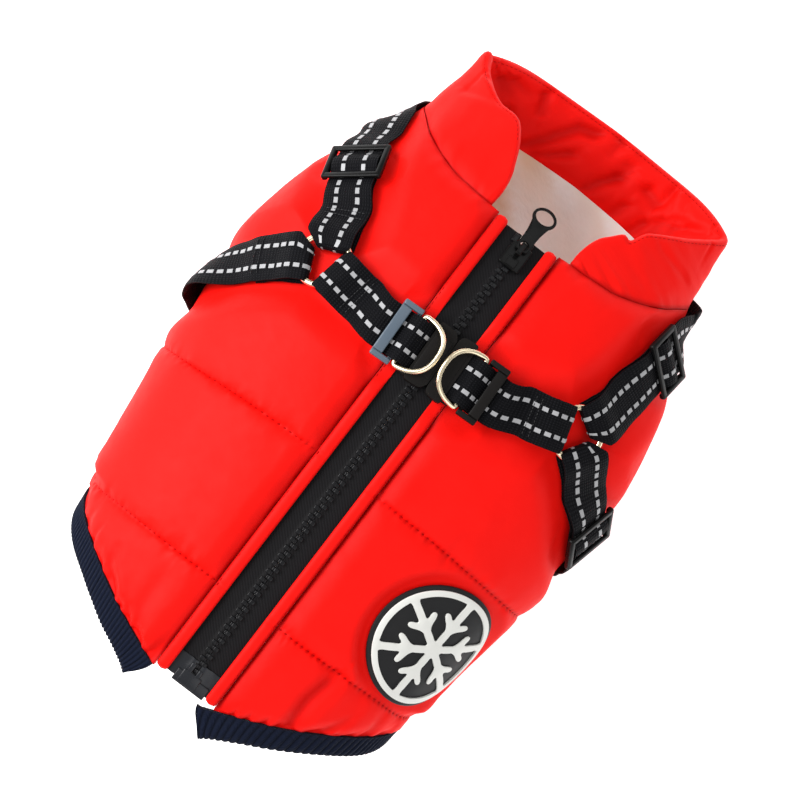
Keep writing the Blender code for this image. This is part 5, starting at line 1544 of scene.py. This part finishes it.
def make_buckle():
    place = CROSS.matrix(BUCKLE_AT)
    plug = [(-8.6, 8.0), (-8.7, 11.8), (-8.4, 13.2), (-7.2, 13.6), (-2.8, 13.3), (-1.2, 13.0), (-0.1, 11.9),
            (0.5, 10.8), (0.98, 10.2)]
    socket = [(1.2, 10.4), (1.5, 12.0), (2.3, 13.2), (3.6, 13.6), (7.8, 13.9), (9.0, 13.4), (9.2, 12.0),
              (9.1, 8.0)]
    for name, outline, start, end, raised in (
        ("buckle_plug", plug, -7.0, -12.3, (-7.6, 0.2)), ("buckle_socket", socket, 7.0, 12.3, (2.2, 7.8)),
    ):
        half = buckle_half(outline, start, end, raised)
        made = scatter(name + "_moulded", half, [place], MATT)
        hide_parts(name)


WIRE_SIDES = 16
D_REST_TILT = math.radians(20.0)


def wire_piece(name, path, radius, placing):
    """The closed round wire of a ring, along a path in its own XY plane."""
    before = np.roll(path, 1, axis=0)
    after = np.roll(path, -1, axis=0)
    first = unit(path - before)
    second = unit(after - path)
    ahead = unit(first + second)
    spread = 1.0 / np.maximum(0.5, np.sum(ahead * second, -1))
    outward = np.stack((ahead[:, 1], -ahead[:, 0], 0.0 * ahead[:, 0]), -1) * spread[:, None]
    turn = 2.0 * np.pi * np.arange(WIRE_SIDES) / WIRE_SIDES
    round_x = outward[:, None] * np.cos(turn)[None, :, None]
    round_z = np.array((0.0, 0.0, 1.0)) * np.sin(turn)[None, :, None]
    rings = path[:, None] + radius * (round_x + round_z)
    points, faces, _ = tube_parts(rings, np.zeros(rings.shape[:2] + (2,)), closed=True)
    matrix = np.array(placing)
    points = points * MM @ matrix[:3, :3].T + matrix[:3, 3]
    made = make_mesh(name + "_wire", points, [faces[0][:, ::-1]], METAL, name, keep=True)
    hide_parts(name)


def make_rings():
    turn = 2.0 * np.pi * np.arange(120) / 120.0
    path = RING_RADIUS * np.stack((np.cos(turn), np.sin(turn), 0.0 * turn), -1)
    for name, distance in (("o_ring_left", 0.0), ("o_ring_right", CROSS.length)):
        wire_piece(name, path, WIRE, CROSS.matrix(distance, WIRE_HEIGHT))
    share = np.arange(97) / 96.0
    turn = np.pi * share
    along = 13.5 * np.abs(np.sin(turn)) ** 0.85
    across = np.sign(np.cos(turn)) * 11.5 * np.abs(np.cos(turn)) ** 0.8
    bow = np.stack((along, across, 0.0 * along), -1)
    bar = np.linspace(bow[-1], bow[0], 14)[1:-1]
    path = np.concatenate((bow, bar, bow[:1]))
    run = run_along(path)
    marks = run[-1] * np.arange(120) / 120.0
    path = sampled(marks, run, path)
    for _ in range(4):
        path = 0.25 * np.roll(path, 1, axis=0) + 0.5 * path + 0.25 * np.roll(path, -1, axis=0)
    for name, sign in (("d_ring_left", -1.0), ("d_ring_right", 1.0)):
        place = CROSS.matrix(BUCKLE_AT + sign * D_OUT, D_HEIGHT)
        if sign > 0.0:
            place = place @ Matrix.Rotation(math.pi, 4, "Z")
        wire_piece(name, path, D_WIRE, place @ Matrix.Rotation(-D_REST_TILT, 4, "Y"))


def slider_frame(along, height):
    outward = normal(0.0, along)
    sideways = np.array((1.0, 0.0, 0.0))
    forward = unit(np.cross(outward, sideways))
    return axes_matrix(envelope(0.0, along) + outward * height, sideways, forward, outward)


def make_slider():
    boxes = [((-4.5, 4.5), (-5.9, 5.3), (0.95, 2.3), 0.55), ((-4.5, 4.5), (-5.9, 5.3), (-3.3, -2.2), 0.5),
             ((-4.6, -3.7), (-5.6, 2.0), (0.0, 2.2), 0.35), ((3.7, 4.6), (-5.6, 2.0), (0.0, 2.2), 0.35),
             ((-0.7, 0.7), (3.6, 5.2), (-2.4, 1.2), 0.3),
             ((-1.1, 1.1), (-0.4, 1.0), (2.0, 5.6), 0.35), ((-1.1, 1.1), (4.0, 5.4), (2.0, 5.6), 0.35),
             ((-1.1, 1.1), (-0.4, 5.4), (4.5, 5.6), 0.4), ((-2.4, 2.4), (-5.4, -1.2), (2.1, 2.7), 0.3)]
    rounded_piece("slider_body", boxes, slider_frame(SLIDER_AT, 0.0), SHINY, "zip_slider")


def smooth_loop(points):
    """A closed outline with its corners cut round."""
    points = np.array(points, float)
    for _ in range(2):
        after = np.roll(points, -1, axis=0)
        points = np.stack((0.75 * points + 0.25 * after, 0.25 * points + 0.75 * after), 1).reshape(-1, 2)
    return points


def plate(outlines, low, high, round_by, segments=2):
    """A flat plate with holes from closed outlines, its upper edges rounded."""
    bm = bmesh.new()
    edges = []
    for outline in outlines:
        corners = [bm.verts.new((x, y, low)) for x, y in outline]
        edges += [bm.edges.new(pair) for pair in zip(corners, corners[1:] + corners[:1])]
    bmesh.ops.triangle_fill(bm, use_beauty=True, use_dissolve=False, edges=edges)
    grown = bmesh.ops.extrude_face_region(bm, geom=bm.faces[:])
    risen = [item for item in grown["geom"] if isinstance(item, bmesh.types.BMVert)]
    for corner in risen:
        corner.co.z = high
    rims = [item for item in bm.edges if len(item.link_faces) == 2 and item.calc_face_angle(0.0) > 1.0
            and abs(item.verts[0].co.z - item.verts[1].co.z) < 1e-6]
    bmesh.ops.bevel(bm, geom=rims, offset=round_by, segments=segments, profile=0.5, affect="EDGES",
                    clamp_overlap=True)
    bmesh.ops.recalc_face_normals(bm, faces=bm.faces[:])
    bm.verts.index_update()
    points = np.array([tuple(corner.co) for corner in bm.verts])
    faces = [[corner.index for corner in face.verts] for face in bm.faces]
    bm.free()
    return points, faces


def make_pull():
    """The flat zip pull: a slot for the slider's bridge, a handle and a ring at its end."""
    turn = np.radians(np.linspace(-40.0, 220.0, 40))
    eye = [(5.2 * math.cos(angle), 16.6 + 4.3 * math.sin(angle)) for angle in turn]
    handle = [(-3.5, 11.6), (-3.05, 9.0), (-2.9, 6.2), (-2.9, 3.8), (-2.8, 0.2), (-2.2, -0.6),
              (2.2, -0.6), (2.8, 0.2), (2.9, 3.8), (2.9, 6.2), (3.05, 9.0), (3.5, 11.6)]
    turn = np.radians(np.arange(0.0, 360.0, 10.0))
    opening = [(4.0 * math.cos(angle), 16.9 + 2.9 * math.sin(angle)) for angle in turn]
    slot = smooth_loop([(-1.7, 0.5), (1.7, 0.5), (1.7, 3.7), (-1.7, 3.7)])
    points, faces = plate([eye + handle, opening, slot], -0.6, 0.6, 0.3)
    made = scatter("pull_tab", (points * MM, faces), [slider_frame(SLIDER_AT + 2.5, 3.4)], SHINY,
                   "zip_pull")
    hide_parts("zip_pull")


def badge_places(x, y):
    """Places on the cloth from the badge's flat coordinates."""
    around = np.full(np.shape(x), BADGE_CENTRE[0])
    along = np.full(np.shape(x), BADGE_CENTRE[1])
    for _ in range(4):
        turn, run = slopes(around, along)
        sideways = unit(turn)
        ahead = np.cross(unit(np.cross(turn, run)), sideways)
        d_along = 0.25 * y / np.sum(ahead * run, -1)
        slip = d_along * np.sum(run * sideways, -1)
        around = around + (0.25 * x - slip) / np.linalg.norm(turn, axis=-1)
        along = along + d_along
    return around, along


def badge_points(x, y, height):
    around, along = badge_places(x, y)
    return envelope(around, along) + normal(around, along) * np.asarray(height)[..., None]


ARM_HALF = 1.5
MOTIF_REACH = 22.8
RIM_RADIUS = 25.2
BADGE_STEPS = 160


def arm_side():
    """One side of an arm of the snowflake, with its branch, from the middle out."""
    beside = ARM_HALF
    inner = beside / math.tan(math.radians(30.0))
    slant = math.radians(52.0)
    reach, long, wide = 11.5, 6.6, 1.3
    root = reach - wide / math.sin(slant)
    end_out = root + long * math.cos(slant)
    end_beside = beside + long * math.sin(slant)
    return [(inner, beside), (mix(inner, root, 0.5), beside), (root, beside), (end_out, end_beside),
            (end_out + 2.0 * wide * math.sin(slant), end_beside - 2.0 * wide * math.cos(slant)),
            (reach + wide / math.sin(slant), beside), (17.6, beside), (MOTIF_REACH, beside)]


def turned(points, angle, flip=1.0):
    cosine, sine = math.cos(angle), math.sin(angle)
    return [(x * cosine - flip * y * sine, x * sine + flip * y * cosine) for x, y in points]


def make_badge():
    """The rubber disc, and on it the white rim and snowflake between six openings."""
    low = BADGE_BED + 0.7
    high = low + BADGE_THICKNESS
    radii = np.array((0.0, 3.0, 7.0, 11.0, 15.0, 19.0, 22.0, 24.5, 26.0, 26.5, 26.85, 27.0, 27.0, 26.9, 26.6))
    tall = np.array([high] * 9 + [high - 0.03, high - 0.14, high - 0.35, low + 0.3, low + 0.1, low])
    turn = 2.0 * np.pi * np.arange(BADGE_STEPS) / BADGE_STEPS
    x = radii[:, None] * np.cos(turn)
    y = radii[:, None] * np.sin(turn)
    points = badge_points(x, y, tall[:, None] + 0.0 * x).reshape(-1, 3)
    faces = grid_faces(len(radii), BADGE_STEPS, closed=True)[:, ::-1]
    centre = badge_points(np.zeros(1), np.zeros(1), np.array((low,)))
    base = (len(radii) - 1) * BADGE_STEPS
    index = np.arange(BADGE_STEPS)
    after = (index + 1) % BADGE_STEPS
    under = np.stack((base + after, base + index, np.full(BADGE_STEPS, len(points))), -1)[:, ::-1]
    made = make_mesh("badge_base", np.concatenate((points, centre)), [faces, under], RUBBER)
    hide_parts("badge")
    circle = np.radians(np.arange(0.0, 360.0, 3.0))
    outlines = [np.stack((RIM_RADIUS * np.cos(circle), RIM_RADIUS * np.sin(circle)), -1)]
    arm_width = math.degrees(math.asin(ARM_HALF / MOTIF_REACH))
    for step in range(6):
        start = 60.0 * step + 30.0
        loop = turned(arm_side(), math.radians(start))
        for angle in np.radians(np.linspace(start + arm_width, start + 60.0 - arm_width, 11)[1:-1]):
            loop.append((MOTIF_REACH * math.cos(angle), MOTIF_REACH * math.sin(angle)))
        loop += turned(list(reversed(arm_side()[1:])), math.radians(start + 60.0), -1.0)
        outlines.append(smooth_loop(loop))
    points, faces = plate(outlines, 0.0, 0.75, 0.28)
    height = high + 0.05 + points[:, 2]
    placed = badge_points(points[:, 0], points[:, 1], height)
    made = make_mesh("badge_motif", placed, by_size(faces), WHITE, angle=50.0)
    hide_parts("badge_relief")


# Sewing.

def stitch_template(long, wide):
    """A short rounded thread, its length along Y."""
    rings = []
    for along, size in ((-0.42, 0.75), (0.0, 1.0), (0.42, 0.75)):
        for side in range(5):
            angle = 2.0 * math.pi * side / 5
            rings.append((size * wide * math.cos(angle), along * long, size * wide * math.sin(angle)))
    points = [(0.0, -0.5 * long, -0.3 * wide)] + rings + [(0.0, 0.5 * long, -0.3 * wide)]
    faces = []
    for side in range(5):
        after = (side + 1) % 5
        faces.append((0, 1 + after, 1 + side))
        faces.append((16, 11 + side, 11 + after))
        for ring in (1, 6):
            faces.append((ring + side, ring + after, ring + 5 + after, ring + 5 + side))
    return np.array(points) * MM, faces


def sew(name, lines, look, pitch, long, wide):
    """Stitches along lines of points with outward directions, and with shares at needle holes."""
    frames = []
    for points, outward, phase in lines:
        run = run_along(points)
        marks = np.arange(0.5 * pitch, run[-1] - 0.4 * pitch, pitch)
        if phase is not None:
            whole = np.arange(math.ceil(phase.min() + 0.3), math.floor(phase.max() - 0.3) + 1)
            order = np.argsort(phase)
            marks = np.interp(whole, phase[order], run[order])
        at = sampled(marks, run, points)
        up = unit(sampled(marks, run, outward))
        forward = unit(sampled(marks + 0.4, run, points) - sampled(marks - 0.4, run, points))
        up = unit(up - forward * np.sum(up * forward, -1, keepdims=True))
        side = np.cross(forward, up)
        frames += [axes_matrix(*item) for item in zip(at, side, forward, up)]
    return scatter(name, stitch_template(long, wide), frames, look, angle=80.0)


def cloth_line(around, along, from_edge, above):
    height = shell_height(around, along, from_edge)
    return lifted(around, along, height + above), normal(around, along), stitch_phase(arc(around, along))


TACK_HALF = 8.5
TACK_APART = 1.2


def make_sewing():
    """The quilting, the top stitching of collar and welts, and the straps' bar tacks."""
    lines = []
    for line in (LOW_QUILT, HIGH_QUILT):
        for side in (-1.0, 1.0):
            start = math.degrees(math.asin(15.5 / 80.0))
            around = np.linspace(start, SIDE_SEAM - 0.8, 300) * side
            along = edge(around, line)
            flat = np.abs(arc(around, along))
            from_edge = np.minimum(flat - flat[0], flat[-1] - flat) + 0.3
            points, outward, phase = cloth_line(around, along, from_edge, 0.12)
            away = np.linalg.norm(points - BADGE_POINT, axis=-1) - BADGE_RADIUS
            clear = away > 0.6
            lines.append((points[clear], outward[clear], phase[clear]))
        around = np.linspace(SIDE_SEAM + 0.8, 360.0 - SIDE_SEAM - 0.8, 140)
        along = edge(around, line)
        lines.append(cloth_line(around, along, np.full(140, 8.0), 0.06))
    sew("quilt_stitches", lines, THREAD, 2.0, 1.25, 0.3)

    lines = []
    for facing in (1.0, -1.0):
        around = -np.linspace(24.0, 336.0, 700)
        fold = fold_angle(around)
        share = 1.0 - TOP_STITCH / (collar_top(around) - edge(around, NECK_LINE))
        keep = (share > 0.12) & (fold > 26.0)
        around, share = around[keep], share[keep]
        along, outer, inner, _, _ = collar_shape(around, share)
        height = (outer if facing > 0.0 else inner) + 0.05 * facing
        lines.append((lifted(around, along, height), normal(around, along) * facing, None))
    sew("collar_stitches", lines, THREAD, 2.1, 1.3, 0.13)

    lines = []
    for side in (-1.0, 1.0):
        along = np.linspace(WELT_BOTTOM + 2.0, WELT_TOP - 2.0, 240)
        across = side * (PLACKET_OUTER - 0.75)
        around = around_at(across, along)
        tall = pressed(envelope(around, along), np.full(240, PLACKET_HEIGHT))
        lines.append((lifted(around, along, 0.12 + 0.80 * tall), normal(around + 14.0 * side, along), None))
    sew("placket_stitches", lines, THREAD, 2.4, 1.6, 0.16)

    lines = []
    ends = {"neck_strap": CROSS_TAIL, "girth_strap": SEWN_TAIL, "cross_strap_left": CROSS_TAIL,
            "cross_strap_right": CROSS.length - CROSS_TAIL}
    for name, end in ends.items():
        strap = STRAPS[name]
        upper = strap.centre[:, 1] > 3.0
        nearest = np.argmin(np.abs(strap.centre[upper, 0] - end))
        run = strap.run[upper][nearest]
        for shift in (-TACK_APART, TACK_APART):
            beside = np.linspace(-TACK_HALF, TACK_HALF, 30)
            points = strap.surface(run + shift + 0.0 * beside, beside, HALF_YARN + 0.12)
            lines.append((points, np.tile(strap.route.frame(end)[3], (30, 1)), None))
    sew("strap_stitches", lines, DARK_THREAD, 1.5, 1.25, 0.22)


FLOOR_HALF = 3.0
FLOOR_GLOW = 0.62
SKY = 0.44


def make_stage():
    """A pale floor, an even sky and three soft lights from the photo's sides."""
    mesh = bpy.data.meshes.new("floor")
    corners = [(x * FLOOR_HALF, y * FLOOR_HALF, 0) for x, y in ((-1, -1), (1, -1), (1, 1), (-1, 1))]
    mesh.from_pydata(corners, [], [(0, 1, 2, 3)])
    floor = bpy.data.objects.new("floor", mesh)
    floor.location.z = -0.0002
    white = new_look("floor_white", (0.93, 0.93, 0.93), 0.9, Emission_Color=(1.0, 1.0, 1.0, 1.0),
                     Emission_Strength=FLOOR_GLOW)
    mesh.materials.append(white)
    bpy.context.collection.objects.link(floor)
    world = bpy.data.worlds.new("studio")
    bpy.context.scene.world = world
    world.use_nodes = True
    world.node_tree.nodes["Background"].inputs[0].default_value = (1.0, 1.0, 1.0, 1.0)
    world.node_tree.nodes["Background"].inputs[1].default_value = SKY
    for name, place, size, power in (
        ("key", (-1.25, -0.30, 1.05), 1.2, 38.0),
        ("fill", (1.0, -0.7, 1.3), 1.6, 10.0),
        ("top", (0.1, 1.2, 1.4), 1.2, 5.0),
    ):
        light = bpy.data.lights.new(name, "AREA")
        light.size = size
        light.energy = power
        made = bpy.data.objects.new(name, light)
        made.location = place
        made.rotation_euler = (-Vector(place)).to_track_quat("-Z", "Y").to_euler()
        bpy.context.collection.objects.link(made)
    bpy.context.scene.view_settings.view_transform = "Standard"


PIXEL = 0.4
VIEW_DISTANCE = 2.0
VIEW_HEIGHT = 0.04
PHOTO_PIXELS = 800.0
SENSOR = 36.0
# Where the vest's zero point lies from the photo's middle, in pixels, and the photo's turn.
ZERO_OFF = (400.0 - 370.0, 400.0 - 443.0)
TURN_X = 0.795
TURN_Y = 0.607


def make_camera():
    """Straight above the vest, turned as in the photograph."""
    right = Vector((TURN_X, TURN_Y, 0.0)).normalized()
    up = Vector((-TURN_Y, TURN_X, 0.0)).normalized()
    off = np.array(ZERO_OFF)
    along = PIXEL * float(off @ np.array((TURN_Y, -TURN_X)))
    across = PIXEL * float(off @ np.array((TURN_X, TURN_Y)))
    camera = bpy.data.cameras.new("camera")
    camera.sensor_width = SENSOR
    camera.lens = SENSOR * VIEW_DISTANCE / (PHOTO_PIXELS * PIXEL * MM)
    made = bpy.data.objects.new("camera", camera)
    matrix = Matrix((right, up, Vector((0.0, 0.0, 1.0)))).transposed().to_4x4()
    centre = (np.array((across, along, 0.0)) + MOVE) * MM
    matrix.translation = Vector(centre) + Vector((0.0, 0.0, VIEW_HEIGHT + VIEW_DISTANCE))
    made.matrix_world = matrix
    bpy.context.collection.objects.link(made)
    bpy.context.scene.camera = made


make_stage()
make_camera()
make_belly()
make_zip()
make_panels()
make_lining()
make_collar()
make_plackets()
make_hem()
make_armholes()
make_straps()
make_glides()
make_slides()
make_buckle()
make_rings()
make_slider()
make_pull()
make_badge()
make_sewing()
